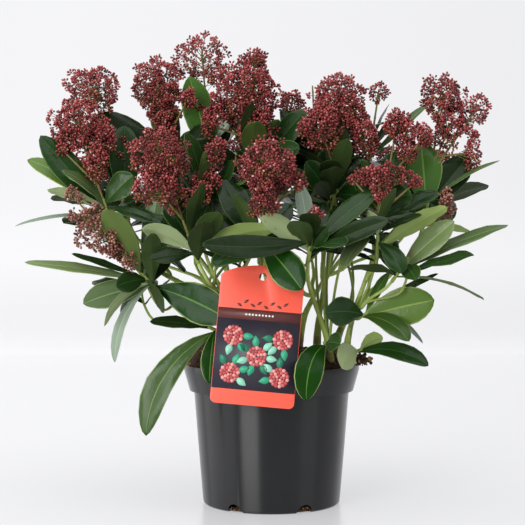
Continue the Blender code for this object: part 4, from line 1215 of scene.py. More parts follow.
twig_entries = []
for seed, (name, shoot, start, whorl, radius) in enumerate(plans):
    foot = joints[name][0] if name in joints else start - (whorl - start).normalized() * TWIG_SINK * MM
    path = [foot, start, start.lerp(whorl, 0.5), whorl + (whorl - start) * TWIG_OVERRUN]
    girths = [radius, radius, radius * 0.95, RACHIS_RADIUS * MM]
    co, quads, caps = woody_tube(path, girths, TWIG_FACES, 100 + seed, *TWIG_SKIN)
    twig_entries.append((co, [(quads, 0), (caps, 0)]))

# finer boughs between those of the frame, each with a few leaves near its end
FINE_COUNT = 24
FINE_SHARE = (0.10, 0.42)
FINE_RADII = (1.5, 1.0)
FINE_NEAR = 5
FINE_SPREAD = 15.0
FINE_FACES = 7
FINE_SKIN = (0.04, 0.3, 2.6)
fine_twigs = []
rng = random.Random(7)
for number in range(FINE_COUNT):
    origin, ahead = along(limbs[STEMS[number % len(STEMS)][0]][0], rng.uniform(*FINE_SHARE))
    near = sorted(plans[:len(limbs)], key=lambda plan: (plan[2] - origin).xy.length)
    owner, _, start, whorl, _ = near[rng.randrange(FINE_NEAR)]
    start = start + Vector([rng.uniform(-1, 1) for _ in range(3)]) * FINE_SPREAD * MM
    way = (whorl - start).normalized()
    tip = start + way * LEAFY_TWIG * MM
    path = bend(origin, (ahead + (start - origin).normalized()).normalized(), start, way, LIMB_RINGS) + [tip]
    co, quads, caps = woody_tube(path, taper(*FINE_RADII, len(path)), FINE_FACES, 700 + number, *FINE_SKIN)
    twig_entries.append((co, [(quads, 0), (caps, 0)]))
    fine_twigs.append((owner, start, tip))


# Leaves
# Leathery evergreen leaves, crowded towards the tip of each twig: a short stalk, a wedge-shaped foot, a
# sunken midrib and a thin pale edge. The frame's rule places them, and then adds small ones further in.
CLEAR = 0.7 * MM
LEAF_STATIONS = (0.33, 0.70)
LEAF_FOLD = 0.07
LEAF_THICK = 0.012
STALK_RADIUS = 0.9
STALK_SET_OUT = 0.7
LEAF_BASE = 1.15
LEAF_BELLY = 0.75
DOME_KNOBS = (0.94, 1.12)
DOME_KNOB_COUNT = 42
DOME_UNDERSIDE = 0.95
DOME_SHRINKS = (1.0, 0.9, 0.8, 0.7)
LARGE_TIER = 38.0
LEAF_ZONE = (0.25, 0.65)
FILLER_ZONE = (0.20, 0.70)
FILLER_STEP = 0.37
FILLER_TRIES = 14
FILLER_RISE = (10, 58)
FILLER_SPREAD = 6
FILLER_DIP = 34
FILLER_LENGTH = (68, 92)
FILLER_WIDTH = (0.36, 0.44)
FILLER_DROOP = (12, 32)
FILLER_ROLL = 22
LEAF_TRIES = ((0, 0), (6, 0), (-6, 0), (0, 7), (0, -7), (12, 5), (-12, 5), (18, 0), (-18, 0),
              (12, -8), (-12, -8), (0, 14), (24, 8), (-24, 8))


def leaf_width(t):
    """Share of the full width at a share t of the length: wedge-shaped foot, widest past the middle."""
    return math.sin(math.pi * t ** LEAF_BASE) ** LEAF_BELLY


def leaf_frame(root, leaf, t):
    """Point, side and face directions of a leaf at a share t of its length."""
    heading, rise, length, _, droop, roll = leaf[:6]
    heading, rise, roll = math.radians(heading), math.radians(rise), math.radians(roll)
    bend = math.radians(droop) or 0.001
    now = rise - bend * t
    along = length * (math.sin(rise) - math.sin(now)) / bend
    height = length * (math.cos(now) - math.cos(rise)) / bend
    flat = Vector((math.cos(heading), math.sin(heading), 0.0))
    side = Vector((math.sin(heading), -math.cos(heading), 0.0))
    face = side.cross(flat * math.cos(now) + UP * math.sin(now))
    point = root + (flat * along + UP * height) * MM
    cos, sin = math.cos(roll), math.sin(roll)
    return point, side * cos - face * sin, face * cos + side * sin


def leaf_to_tip(root, x, y, z, width, droop, show):
    """The leaf from a root to a tip in millimetres, rolled until its face shows that much to the front."""
    chord = Vector((x, y, z)) - root / MM
    heading = math.atan2(chord.y, chord.x)
    slope = math.asin(chord.z / chord.length)
    half_bend = math.radians(0.5 * droop) or 0.001
    length = chord.length * half_bend / math.sin(half_bend)
    across, ahead = math.cos(heading), math.sin(slope) * math.sin(heading)
    turn = math.acos(max(-1.0, min(1.0, show / math.hypot(across, ahead))))
    level = math.atan2(across, ahead)
    roll = min((math.remainder(level + way * turn, math.tau) for way in (1, -1)), key=abs)
    return (math.degrees(heading), math.degrees(slope + half_bend), length, width, droop, math.degrees(roll))


def leaf_solid(root, leaf, grow=0.0, whole=True):
    """The frame's plain leaf, as the rule tests it: a three-sided blade with a keel along its midrib."""
    length, width = leaf[2], leaf[3]
    root = root + heading_vector(leaf[0], leaf[1]) * STALK_SET_OUT * MM
    points = []
    stations = (0.0, *LEAF_STATIONS) if whole else LEAF_STATIONS
    for t in stations:
        point, side, face = leaf_frame(root, leaf, t)
        half = (0.5 * width * leaf_width(t) if t else STALK_RADIUS) * MM + grow
        keel = (LEAF_THICK * length if t else STALK_RADIUS) * MM + grow
        raised = face * (half * LEAF_FOLD + 0.5 * grow)
        points += [point - side * half + raised, point - face * keel, point + side * half + raised]
    tip, _, _ = leaf_frame(root, leaf, 1.0)
    points.append(tip)
    faces = [(0, 1, 2)]
    last = len(points) - 4
    for low in range(0, last, 3):
        for a, b in ((1, 0), (2, 1), (0, 2)):
            faces += [(low + a, low + b, low + 3 + b), (low + a, low + 3 + b, low + 3 + a)]
    for a, b in ((1, 0), (2, 1), (0, 2)):
        faces.append((last + a, last + b, last + 3))
    return points, faces


def dome_solid(middle, width, height, knobs, grow=0.0):
    """The frame's dome of buds, as the rule tests it."""
    bm = bmesh.new()
    bmesh.ops.create_icosphere(bm, subdivisions=2 if width > LARGE_TIER else 1, radius=1.0)
    points = []
    for vertex in bm.verts:
        x, y, z = vertex.co * knobs[vertex.index % len(knobs)]
        z *= DOME_UNDERSIDE if z < 0.0 else 1.0
        points.append(middle + Vector((x * width, y * width, z * height)) * 0.5 * MM
                      + vertex.co.normalized() * grow)
    faces = [tuple(vertex.index for vertex in face.verts) for face in bm.faces]
    bm.free()
    return points, faces


def is_inside(point, tree):
    """True where a line up from the point crosses the solid's surface an odd number of times."""
    crossings = 0
    start = Vector(point)
    while True:
        hit = tree.ray_cast(start, UP)[0]
        if hit is None:
            return crossings % 2 == 1
        crossings += 1
        start = hit + UP * 1e-5


class Space:
    """The places that are taken, each with the name of the node that holds it."""

    def __init__(self):
        self.taken = []

    def add(self, owner, solid):
        low, high = np.min(solid[0], axis=0), np.max(solid[0], axis=0)
        self.taken.append((owner, low.tolist(), high.tolist(), BVHTree.FromPolygons(*solid), solid[0][0]))

    def is_free(self, owner, solid):
        low, high = np.min(solid[0], axis=0).tolist(), np.max(solid[0], axis=0).tolist()
        tree = None
        for name, other_low, other_high, other, spot in self.taken:
            if (name == owner or low[0] > other_high[0] or high[0] < other_low[0] or low[1] > other_high[1]
                    or high[1] < other_low[1] or low[2] > other_high[2] or high[2] < other_low[2]):
                continue
            tree = tree or BVHTree.FromPolygons(*solid)
            if tree.overlap(other) or is_inside(solid[0][0], other) or is_inside(spot, tree):
                return False
        return True


def plan_panicle(space, owner, shoot, rng):
    """The panicle's rachis lines and domes, each where the frame has room for it."""
    whorl = Vector(shoot["whorl"])
    first = Vector(shoot["tiers"][0][:3])
    rachises, domes = [], []
    for number, (x, y, z, width, height) in enumerate(shoot["tiers"]):
        middle = Vector((x, y, z))
        start = whorl if number == 0 else whorl.lerp(first, RACHIS_STARTS[0] + RACHIS_STARTS[1] * number)
        hub = middle + (start - middle).normalized() * min(HUB_DEPTH * height, 0.6 * (start - middle).length)
        rachis = [start * MM, hub * MM, middle * MM]
        if not space.is_free(owner, tube(rachis, [RACHIS_RADIUS * MM + CLEAR] * 3, 4)):
            continue
        rachises.append(rachis)
        knobs = [rng.uniform(*DOME_KNOBS) for _ in range(DOME_KNOB_COUNT)]
        for shrink in DOME_SHRINKS:
            if space.is_free(owner, dome_solid(middle * MM, width * shrink, height * shrink, knobs, CLEAR)):
                domes.append((hub, middle, width * shrink, height * shrink, knobs))
                break
    return rachises, domes


def filler_leaf(share, heading, rng):
    """A leaf that the rule adds: upper ones on the twig stand more upright, those at the front lie lower."""
    rise = FILLER_RISE[0] + FILLER_RISE[1] * share + rng.uniform(-FILLER_SPREAD, FILLER_SPREAD)
    rise -= FILLER_DIP * max(0.0, -math.sin(math.radians(heading)))
    length = rng.uniform(*FILLER_LENGTH)
    width = length * rng.uniform(*FILLER_WIDTH)
    return (heading, rise, length, width, rng.uniform(*FILLER_DROOP), rng.uniform(-FILLER_ROLL, FILLER_ROLL))


def is_clear(owner, root, leaf):
    """True where a leaf is clear of the other shoots, and its blade of every other blade."""
    return (space.is_free(owner, leaf_solid(root, leaf, CLEAR))
            and blades.is_free("", leaf_solid(root, leaf, 0.0, False)))


def add_leaf(owner, root, leaf, tone=None):
    """Keep a leaf, and the room that it takes."""
    space.add(owner, leaf_solid(root, leaf))
    blades.add(owner, leaf_solid(root, leaf, 0.0, False))
    leaves.append((root, leaf, tone))


space, blades, leaves = Space(), Space(), []
for node in ("pot", "peat", "label"):
    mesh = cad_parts[node].data
    space.add(node, ([vertex.co.copy() for vertex in mesh.vertices],
                     [tuple(face.vertices) for face in mesh.polygons]))
for name, (path, radii, _, ways) in limbs.items():
    space.add(name, tube(path, radii, LIMB_SIDES, ways))
for name, shoot, start, whorl, radius in plans:
    path = [start, start.lerp(whorl, 0.5), whorl + (whorl - start) * TWIG_OVERRUN]
    space.add(name, tube(path, [radius, radius, RACHIS_RADIUS * MM], TWIG_SIDES))
panicles = {}
for seed, (name, shoot, _, _, _) in enumerate(plans):
    if "tiers" not in shoot:
        continue
    panicles[name] = plan_panicle(space, name, shoot, random.Random(SEED + seed))
    for rachis in panicles[name][0]:
        space.add(name, tube(rachis, taper(RACHIS_RADIUS, 0.75 * RACHIS_RADIUS, 3), 4))
    for _, middle, width, height, knobs in panicles[name][1]:
        space.add(name, dome_solid(middle * MM, width, height, knobs))
for name, shoot, start, whorl, _ in plans:
    for i, (*numbers, tone) in enumerate(shoot["leaves"]):
        root = start.lerp(whorl, LEAF_ZONE[0] + LEAF_ZONE[1] * (i + 0.5) / len(shoot["leaves"]))
        heading, rise, *rest = leaf_to_tip(root, *numbers)
        for turn, lift in LEAF_TRIES:
            leaf = (heading + turn, rise + lift, *rest)
            if is_clear(name, root, leaf):
                add_leaf(name, root, leaf, tone)
                break
# the named leaves are laid, and the rule now fills in round each twig
named = len(leaves)
for seed, (name, shoot, start, whorl, _) in enumerate(plans):
    rng = random.Random(2 * SEED + seed)
    wanted = shoot.get("fill", 0)
    first = rng.uniform(0, 360)
    found = 0
    for k in range(FILLER_TRIES * wanted):
        if found == wanted:
            break
        share = (k * FILLER_STEP) % 1.0
        root = start.lerp(whorl, FILLER_ZONE[0] + FILLER_ZONE[1] * share)
        leaf = filler_leaf(share, first + math.degrees(k * GOLDEN), rng)
        if is_clear(name, root, leaf):
            add_leaf(name, root, leaf)
            found += 1

# one leaf: rows along its length, and across it seven strips above and seven below
ROWS = (0.0, 0.07, 0.18, 0.32, 0.46, 0.60, 0.73, 0.84, 0.92, 0.97)
TOP_SIDES = (-1.0, -0.93, -0.45, -0.045, 0.045, 0.45, 0.93, 1.0)
UNDER_SIDES = (0.93, 0.45, 0.07, -0.07, -0.45, -0.93)
BLADE_BASE = 1.45
BLADE_BELLY = 0.62
BLADE_THICK = 0.28
BLADE_START = (0.05, 0.12)
BLADE_EDGE = 20
RIB_DEPTH = 0.5
RIB_HALF = 0.1
STALK_HALF = 0.85
STALK_CROWN = 0.42
STALK_KEEL = 0.5
CUP = (0.5, -0.42)
WAVE_HEIGHT = 0.045
WAVE_EDGE = 2.5
WAVE_SHARE = (0.3, 1.0)
WAVE_COUNT = (2.0, 3.6)
ring = len(TOP_SIDES) + len(UNDER_SIDES)
RING_SLOTS = (2, 0, 0, 1, 0, 0, 2) + (3,) * 7
last = (len(ROWS) - 1) * ring
leaf_tris, tri_slots = [], []
for row in range(len(ROWS) - 1):
    for k in range(ring):
        a, b = row * ring + k, row * ring + (k + 1) % ring
        # above and below are split along the same slant, so that neither shows through the other
        if k < len(TOP_SIDES) - 1:
            leaf_tris += [(a, b, b + ring), (a, b + ring, a + ring)]
        else:
            leaf_tris += [(a, b, a + ring), (b, b + ring, a + ring)]
        tri_slots += [RING_SLOTS[k]] * 2
leaf_tris = np.array(leaf_tris + [(last + k, last + (k + 1) % ring, last + ring) for k in range(ring)])
tri_slots = np.array(tri_slots + list(RING_SLOTS))
foot_ring = np.arange(ring)[None, ::-1]


def leaf_mesh(root, leaf, tone, rng):
    """Points of one leaf, and its faces with the slots of its tone: blade, midrib, edge and underside."""
    width = leaf[3]
    root = root + heading_vector(leaf[0], leaf[1]) * STALK_SET_OUT * MM
    phases = (rng.uniform(0, math.tau), rng.uniform(0, math.tau))
    height, count = WAVE_HEIGHT * width * MM * rng.uniform(*WAVE_SHARE), rng.uniform(*WAVE_COUNT)
    points = []
    for t in ROWS:
        point, side, face = (np.array(part) for part in leaf_frame(root, leaf, max(t, 0.001)))
        full = math.sin(math.pi * max(t, 1e-4) ** BLADE_BASE) ** BLADE_BELLY
        half = max(0.5 * width * full, STALK_HALF) * MM
        blade = min(max((t - BLADE_START[0]) / BLADE_START[1], 0.0), 1.0)
        for k, s in enumerate(TOP_SIDES + UNDER_SIDES):
            lift = half * (CUP[0] * abs(s) + CUP[1] * s * s) * blade
            lift += height * abs(s) ** WAVE_EDGE * math.sin(count * math.tau * t + phases[s >= 0]) * blade
            if k < len(TOP_SIDES):
                lift += (1.0 - blade) * STALK_CROWN * MM * (1.0 - s * s)
            else:
                rib = RIB_DEPTH * (1.0 - t) * (abs(s) < RIB_HALF)
                depth = BLADE_THICK + rib + STALK_KEEL * (1.0 - blade)
                lift -= depth * MM * (1.0 - abs(s) ** BLADE_EDGE)
            points.append(point + side * half * s + face * lift)
    tip, _, _ = leaf_frame(root, leaf, 1.0)
    points.append(np.array(tip))
    base = len(LEAF_PARTS) * tone
    return np.array(points), [(leaf_tris, base + tri_slots), (foot_ring, base + RING_SLOTS[-1])]


def skin_of(mesh):
    """A leaf's own mesh as a search tree, with its box."""
    points = mesh[0]
    return points.min(axis=0), points.max(axis=0), BVHTree.FromPolygons(points.tolist(), leaf_tris.tolist())


def is_apart(skin):
    """True where a leaf's mesh cuts no mesh laid before it."""
    low, high, tree = skin
    return not any((low <= other_high).all() and (high >= other_low).all() and tree.overlap(other)
                   for other_low, other_high, other in skins)


# Tones are dealt to the leaves that have none of their own; inner ones and those in the crown get the
# darkest, a painted shade. Each tone has a blade, a midrib, a thin edge and an underside.
LEAF_PARTS = {"blade": 0.25, "midrib": 0.34, "edge": 0.34, "underside": 0.55}
# silver and grey_sheen are painted reflection: a leaf's gloss, mirroring the pale room, painted into its
# colour
LEAF_COLOURS = {
    "deep": ("#192b10", "#27401c", "#395024", "#2f3f1b"),
    "dark": ("#1e3a15", "#2e5222", "#4a672e", "#3c5024"),
    "rich": ("#163a0c", "#4f7a30", "#8fa35c", "#5a6a38"),
    "mid": ("#28441a", "#406228", "#5f7a36", "#556830"),
    "fresh": ("#446a2c", "#6f9440", "#8aa353", "#86a052"),
    "light": ("#56732e", "#7f9a46", "#9aac60", "#8fa35c"),
    "pale": ("#6c8050", "#8fa068", "#a8b47c", "#98a878"),
    "grey_sheen": ("#4c6238", "#74895a", "#8b9c70", "#84946a"),
    "silver": ("#7c8c7a", "#98a890", "#a8b49e", "#8a987f"),
    "olive": ("#36501f", "#5a7534", "#7b8f54", "#6f7d50"),
}
LEAF_TONES = list(LEAF_COLOURS)
CROWN_HEIGHT = 285.0
SHADED_CROWN_TONES = ("deep", "deep", "dark", "dark", "dark", "mid")
SKIRT_TONES = ("dark", "dark", "mid", "mid", "mid", "fresh", "pale", "grey_sheen")
SHADED_INNER_TONES = ("deep", "deep", "deep", "dark", "dark", "dark", "mid")
SMALL_TRIES = 150
SMALL_CLEAR = 1.6 * MM
SMALL_WANTED = 11
SMALL_LENGTH = (44, 78)
SMALL_WIDTH = (0.30, 0.42)
SMALL_RISE = (15, 82)
SMALL_DROOP = (5, 30)
SMALL_ROLL = 45
FINE_WANTED = 3
rng = random.Random(41)
skins, large_entries, small_entries = [], [], []
for number, (root, leaf, tone) in enumerate(leaves):
    if not tone:
        tip_height = leaf_frame(root, leaf, 1.0)[0].z / MM
        tone = rng.choice(SHADED_CROWN_TONES if tip_height > CROWN_HEIGHT else SKIRT_TONES)
    mesh = leaf_mesh(root, leaf, LEAF_TONES.index(tone), rng)
    skin = skin_of(mesh)
    if number < named or is_apart(skin):
        skins.append(skin)
        large_entries.append(mesh)

inner = [(name, start, whorl, SMALL_WANTED) for name, shoot, start, whorl, _ in plans if "tiers" in shoot]
inner += [(owner, start, tip, FINE_WANTED) for owner, start, tip in fine_twigs]
for seed, (name, start, whorl, wanted) in enumerate(inner):
    rng = random.Random(300 + seed)
    found = 0
    for _ in range(SMALL_TRIES):
        if found == wanted:
            break
        length = rng.uniform(*SMALL_LENGTH)
        leaf = (rng.uniform(0, 360), rng.uniform(*SMALL_RISE), length, length * rng.uniform(*SMALL_WIDTH),
                rng.uniform(*SMALL_DROOP), rng.uniform(-SMALL_ROLL, SMALL_ROLL))
        root = start.lerp(whorl, rng.uniform(0.0, 1.0))
        grown = leaf_solid(root, leaf, SMALL_CLEAR, False)
        if not (is_clear(name, root, leaf) and blades.is_free("", grown)):
            continue
        mesh = leaf_mesh(root, leaf, LEAF_TONES.index(rng.choice(SHADED_INNER_TONES)), rng)
        skin = skin_of(mesh)
        if is_apart(skin):
            add_leaf(name, root, leaf)
            skins.append(skin)
            small_entries.append(mesh)
            found += 1

# Waxy evergreen leaf: a thick clear skin over dark green flesh, so the top mirrors the room softly while
# the underside stays dull and pale. Each tone is one plain colour; the richest has the thinnest wax.
WAX = 0.25
THIN_WAX = 0.12
LEAF_RIPPLE = 5.882
leaf_mats = []
for tone in LEAF_TONES:
    for (part, rough), colour in zip(LEAF_PARTS.items(), LEAF_COLOURS[tone]):
        mat, _, _ = grained(
            f"{tone}_leaf_{part}", colour,
            {"Roughness": rough, "Specular IOR Level": THIN_WAX if tone == "rich" else WAX},
            {"Scale": scale_of(LEAF_RIPPLE), "Detail": 3.0, "Roughness": 0.55}, 0.35, 0.9)
        leaf_mats.append(mat)
small_leaves = join_copies("inner_leaves", small_entries, leaf_mats)
large_leaves = join_copies("leaves", large_entries, leaf_mats)
for piece in (large_leaves, small_leaves):
    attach(piece, "root")
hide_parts(*[plan[0] for plan in plans])


# Panicles of buds
# Each shoot ends in a branched cone of hundreds of closed buds, each the size of a match head, in small
# clusters at the ends of its side branches. The domes are close at the top, looser and browner low down.
CLUSTER_AREA = 70.0
LOOSE_AREA = 112.0
CLUSTER_REACH = (0.84, 1.02)
CLUSTER_FOOT = 2.4
FEWEST_CLUSTERS = 8
INNER_REACH = (0.55, 0.84)
INNER_SHARE = 0.30
LOWEST = -0.95
LOBING = 0.3
LOBE_PITCH = 2.4
SMALL_TUCK = 2.5
DOME_CROWN = 0.3
CROWN_GIRTH = 0.8
CLUSTERS_TO_NODE = 3.4
FEWEST_NODES = 3
NODE_REACH = 0.62
NODE_LEVELS = (0.4, 0.5, 0.95)
STALK_GIRTHS = (0.55, 0.36, 0.2)
RACHIS_SKIN = (0.04, 0.25, 2.2)
RACHIS_FACES = 8
# shades run from 0, the darkest, to 4: their middle, the painted light that lifts them to the top of a dome,
# and their spread
BUD_SHADE_AND_PAINTED_LIGHT = (2.1, 0.7, 0.6)
LOW_SHARE = 0.45
LOW_LEVEL = -0.3
# loose sprays between two domes: the area for each, and their reach, tilt and spread
LINK_AREA = 105.0
LINK_LOOSER = 2.4
LINK_SHARE = (0.15, 0.85)
LINK_TILT = (-40, 60)
LINK_REACH = (0.3, 0.75)
LINK_BUDS = (1.5, 4.5)
LINK_SPREAD = 0.7
LINK_SHADE = (2.0, 0.6)
# side sprays on the bare stalk below the first dome, in the same terms
SIDE_SPRAYS = 16
SIDE_SHARE = (0.3, 1.0)
SIDE_TILT = (5, 50)
SIDE_REACH = (0.15, 0.42)
SIDE_BUDS = (2.0, 6.0)
SIDE_SPREAD = 0.8
SIDE_LIFT = 0.3
SIDE_SHADE = (1.8, 0.7)
# each ramp runs from dark to light, and its last, palest step is a painted glint
RAMPS = {
    "red": ("#481a18", "#672523", "#863433", "#a14342", "#b35a58", "#ce908d"),
    "brown": ("#4a2720", "#673b31", "#825043", "#9c6858", "#b38473", "#cba498"),
    "low": ("#5a2c1e", "#7d4527", "#96523a", "#9a5a44", "#a86f58", "#c79a86"),
}
clusters = []
stalks = ([], [], [], [])
rng = random.Random(73)


def add_stalk(start, end, girth, slot):
    """Keep one stalk for the last section: its ends, its girth and the bark that it wears."""
    for column, value in zip(stalks, (start, end, girth, slot)):
        column.append(value)


def any_way(spread):
    """A random step, up to the spread on each axis."""
    return Vector([rng.uniform(-spread, spread) for _ in range(3)])


for name, shoot, _, whorl, _ in plans:
    if name not in panicles:
        continue
    rachises, domes = panicles[name]
    ramp = shoot.get("tint", "red")
    whorl = whorl / MM
    for number, rachis in enumerate(rachises):
        girths = taper(RACHIS_RADIUS * 0.9, 0.8, 3)
        co, quads, caps = woody_tube(rachis, girths, RACHIS_FACES, 500 + number, *RACHIS_SKIN)
        twig_entries.append((co, [(quads, 1), (caps, 1)]))
    for hub, middle, width, height, _ in domes:
        tuck = 0.0 if width > LARGE_TIER else SMALL_TUCK
        wide, high = 0.5 * width - tuck, 0.5 * height - tuck
        seed = rng.uniform(0, 50)
        area = LOOSE_AREA if shoot.get("loose") else CLUSTER_AREA
        count = max(FEWEST_CLUSTERS, round(math.pi * (wide + high) ** 2 / area))
        crown = middle + UP * DOME_CROWN * high
        add_stalk(middle, crown, CROWN_GIRTH, 1)
        spots, ways = [], []
        start = rng.uniform(0, math.tau)
        for i in range(count):
            level = 1.0 + (LOWEST - 1.0) * (i + rng.uniform(0.2, 0.8)) / count
            turn = start + i * GOLDEN + rng.uniform(-0.2, 0.2)
            flat = math.sqrt(max(1.0 - level * level, 0.0))
            reach = rng.uniform(*(INNER_REACH if rng.random() < INNER_SHARE else CLUSTER_REACH))
            ways.append(Vector((flat * math.cos(turn), flat * math.sin(turn), level)))
            reach *= 1.0 + LOBING * noise.noise(ways[-1] * LOBE_PITCH + Vector((seed, 0.0, 0.0)))
            spots.append(middle + Vector((ways[-1].x * wide, ways[-1].y * wide, level * high)) * reach)
        nodes = []
        node_count = max(FEWEST_NODES, round(count / CLUSTERS_TO_NODE))
        for i in range(node_count):
            level = 1.0 + (LOWEST - 1.0) * (i + 0.5) / node_count
            turn = start + 1.0 + i * GOLDEN
            flat = math.sqrt(max(1.0 - level * level, 0.0))
            out = Vector((flat * math.cos(turn) * wide, flat * math.sin(turn) * wide, level * high))
            nodes.append(middle + out * NODE_REACH)
            share = min(max(NODE_LEVELS[0] + NODE_LEVELS[1] * level, 0.0), NODE_LEVELS[2])
            add_stalk(hub.lerp(crown, share), nodes[-1], STALK_GIRTHS[0], 1)
        for spot, way in zip(spots, ways):
            node = min(nodes, key=lambda place: (place - spot).length_squared)
            foot = spot - (way + (spot - node).normalized()).normalized() * CLUSTER_FOOT
            add_stalk(node, foot, STALK_GIRTHS[1], 2)
            kind = "low" if ramp == "red" and way.z < LOW_LEVEL and rng.random() < LOW_SHARE else ramp
            # upper buds are painted lighter and lower ones darker, as light from above would show them; the
            # rest is random tone
            shade = BUD_SHADE_AND_PAINTED_LIGHT[0] + BUD_SHADE_AND_PAINTED_LIGHT[1] * way.z - shoot.get("shade", 0.0) + rng.gauss(0.0, BUD_SHADE_AND_PAINTED_LIGHT[2])
            clusters.append((foot, (spot - foot).normalized(), kind, shade))
    # loose sprays fill in between the domes, and spring from the bare stalk between the leaves and the first
    for hub, middle, width, height, _ in domes[:1]:
        for _, other, other_width, other_height, _ in domes[1:]:
            area = LINK_AREA * (LINK_LOOSER if shoot.get("loose") else 1.0)
            for _ in range(round((middle - other).length * (width + other_width) / area)):
                share = rng.uniform(*LINK_SHARE)
                way = heading_vector(rng.uniform(0, 360), rng.uniform(*LINK_TILT))
                girth = 0.5 * ((1 - share) * min(width, height) + share * min(other_width, other_height))
                axis = middle.lerp(other, share)
                node = axis + way * girth * rng.uniform(*LINK_REACH)
                add_stalk(hub.lerp(axis, 0.5), node, STALK_GIRTHS[1], 1)
                for _ in range(2):
                    out = (way + any_way(LINK_SPREAD)).normalized()
                    foot = node + out * rng.uniform(*LINK_BUDS)
                    add_stalk(node, foot, STALK_GIRTHS[2], 2)
                    clusters.append((foot, out, ramp, LINK_SHADE[0] + rng.gauss(0.0, LINK_SHADE[1])))
        for i in range(SIDE_SPRAYS if width > LARGE_TIER else 0):
            share = rng.uniform(*SIDE_SHARE)
            origin = whorl.lerp(hub, share)
            way = heading_vector(i * math.degrees(GOLDEN), rng.uniform(*SIDE_TILT))
            node = origin + way * rng.uniform(*SIDE_REACH) * share * width
            add_stalk(origin, node, STALK_GIRTHS[1], 1)
            for _ in range(3):
                out = (way + any_way(SIDE_SPREAD) + UP * SIDE_LIFT).normalized()
                foot = node + out * rng.uniform(*SIDE_BUDS)
                add_stalk(node, foot, STALK_GIRTHS[2], 2)
                kind = "brown" if ramp == "brown" else rng.choice(("low", "red"))
                clusters.append((foot, out, kind, SIDE_SHADE[0] + rng.gauss(0.0, SIDE_SHADE[1])))

# Bud scales: smooth and tight, with a soft sheen that puts a small glint on every bud. A bud is a blunt egg,
# fuller towards its tip and drawn in at its foot, where a brown calyx holds it.
CLUSTER_BUDS = (5, 8)
CLUSTER_LEVELS = 1.25
BUD_MESH = (5, 4)
BUD_RADIUS = (0.95, 1.22)
BUD_LENGTH = 1.3
BUD_FULLNESS = 0.12
BUD_REACH = (2.0, 4.0)
BUD_TILT = 0.3
BUD_PITS = 0.6667
BUD_SPREAD = 0.75
PAINTED_GLINT_SHARE = 0.03
CALYX = "#54402a"
CALYX_LEVEL = -0.85
PIECE_BUDS = 6000
bpy.ops.object.select_all(action="DESELECT")
bpy.ops.mesh.primitive_uv_sphere_add(segments=BUD_MESH[0], ring_count=BUD_MESH[1], radius=1.0)
bud = bpy.context.object
for vertex in bud.data.vertices:
    z = vertex.co.z
    vertex.co.x *= 1.0 + BUD_FULLNESS * z
    vertex.co.y *= 1.0 + BUD_FULLNESS * z
    vertex.co.z = BUD_LENGTH * z
bud = template(bud)
TONES = [(kind, step) for kind, shades in RAMPS.items() for step in range(len(shades))]
PAINTED_GLINT = len(RAMPS["red"]) - 1
places, ways, girths, tones = [], [], [], []
for foot, way, kind, shade in clusters:
    count = rng.randint(*CLUSTER_BUDS)
    start = rng.uniform(0, math.tau)
    across = way.orthogonal().normalized()
    other = way.cross(across)
    for i in range(count):
        level = 1.0 - CLUSTER_LEVELS * (i + 0.5) / count
        flat = math.sqrt(max(1.0 - level * level, 0.0))
        turn = start + i * GOLDEN
        out = way * level + across * flat * math.cos(turn) + other * flat * math.sin(turn)
        girth = rng.uniform(*BUD_RADIUS)
        place = foot + out * rng.uniform(*BUD_REACH)
        # a few buds are painted in the palest step, a painted highlight
        if rng.random() < PAINTED_GLINT_SHARE:
            tone = PAINTED_GLINT
        else:
            tone = min(max(round(shade + rng.gauss(0.0, BUD_SPREAD)), 0), PAINTED_GLINT - 1)
        add_stalk(foot, place - out * girth, STALK_GIRTHS[2], 2)
        places.append(place)
        ways.append((out + way * BUD_TILT).normalized())
        girths.append(girth)
        tones.append(TONES.index((kind, tone)))
bud_mats = []
for kind, step in TONES + [("calyx", 0)]:
    mat, _, _ = grained(
        f"{kind}_bud_scale_{step + 1}", RAMPS[kind][step] if kind in RAMPS else CALYX,
        {"Roughness": 0.44, "IOR": 1.46}, {"Scale": scale_of(BUD_PITS), "Detail": 2.0}, 0.3, 0.15)
    bud_mats.append(mat)
places = np.array([list(place) for place in places]) * MM
ways = np.array([list(way) for way in ways])
girths = np.array(girths)[:, None] * MM
tones = np.array(tones)
for part in range(0, len(places), PIECE_BUDS):
    group = slice(part, part + PIECE_BUDS)
    co, faces = scatter(bud, places[group], ways[group], girths[group])
    painted = []
    for corners, shape in zip(faces, bud[1]):
        slots = np.repeat(tones[group], len(shape))
        low = bud[0][shape].mean(axis=1)[:, 2] < CALYX_LEVEL
        slots[np.tile(low, len(places[group]))] = len(TONES)
        painted.append((corners, slots))
    piece = join_copies(f"buds_{part // PIECE_BUDS + 1}", [(co, painted)], bud_mats)
    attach(piece, "root")


# Stalks of the panicles
# Thin branched stalks join each cluster to the twig: green on the main ones, red brown and as fine as thread
# under the buds. The leafy twigs are joined with the thicker ones.
STALK_TAPER = 0.75
TWIG_BARKS = (("leafy_twig_bark", "#75883c", "#97aa55"), ("panicle_stalk", "#6b6236", "#8a8048"),
              ("bud_stalk", "#5e2c26", "#7d4634"))


def prisms(starts, ends, girths, slots):
    """Thin three-sided stalks between two lists of places, as one entry for join_copies."""
    across, other, _ = directions(ends - starts)
    ring = [(across * math.cos(turn) + other * math.sin(turn)) * girths[:, None]
            for turn in (0.0, math.tau / 3, 2 * math.tau / 3)]
    co = np.stack([*(starts + way for way in ring), *(ends + STALK_TAPER * way for way in ring)], axis=1)
    quads = np.array([(k, (k + 1) % 3, 3 + (k + 1) % 3, 3 + k) for k in range(3)])
    quads = quads[None] + 6 * np.arange(len(starts))[:, None, None]
    return co.reshape(-1, 3), [(quads.reshape(-1, 4), np.repeat(slots, 3))]


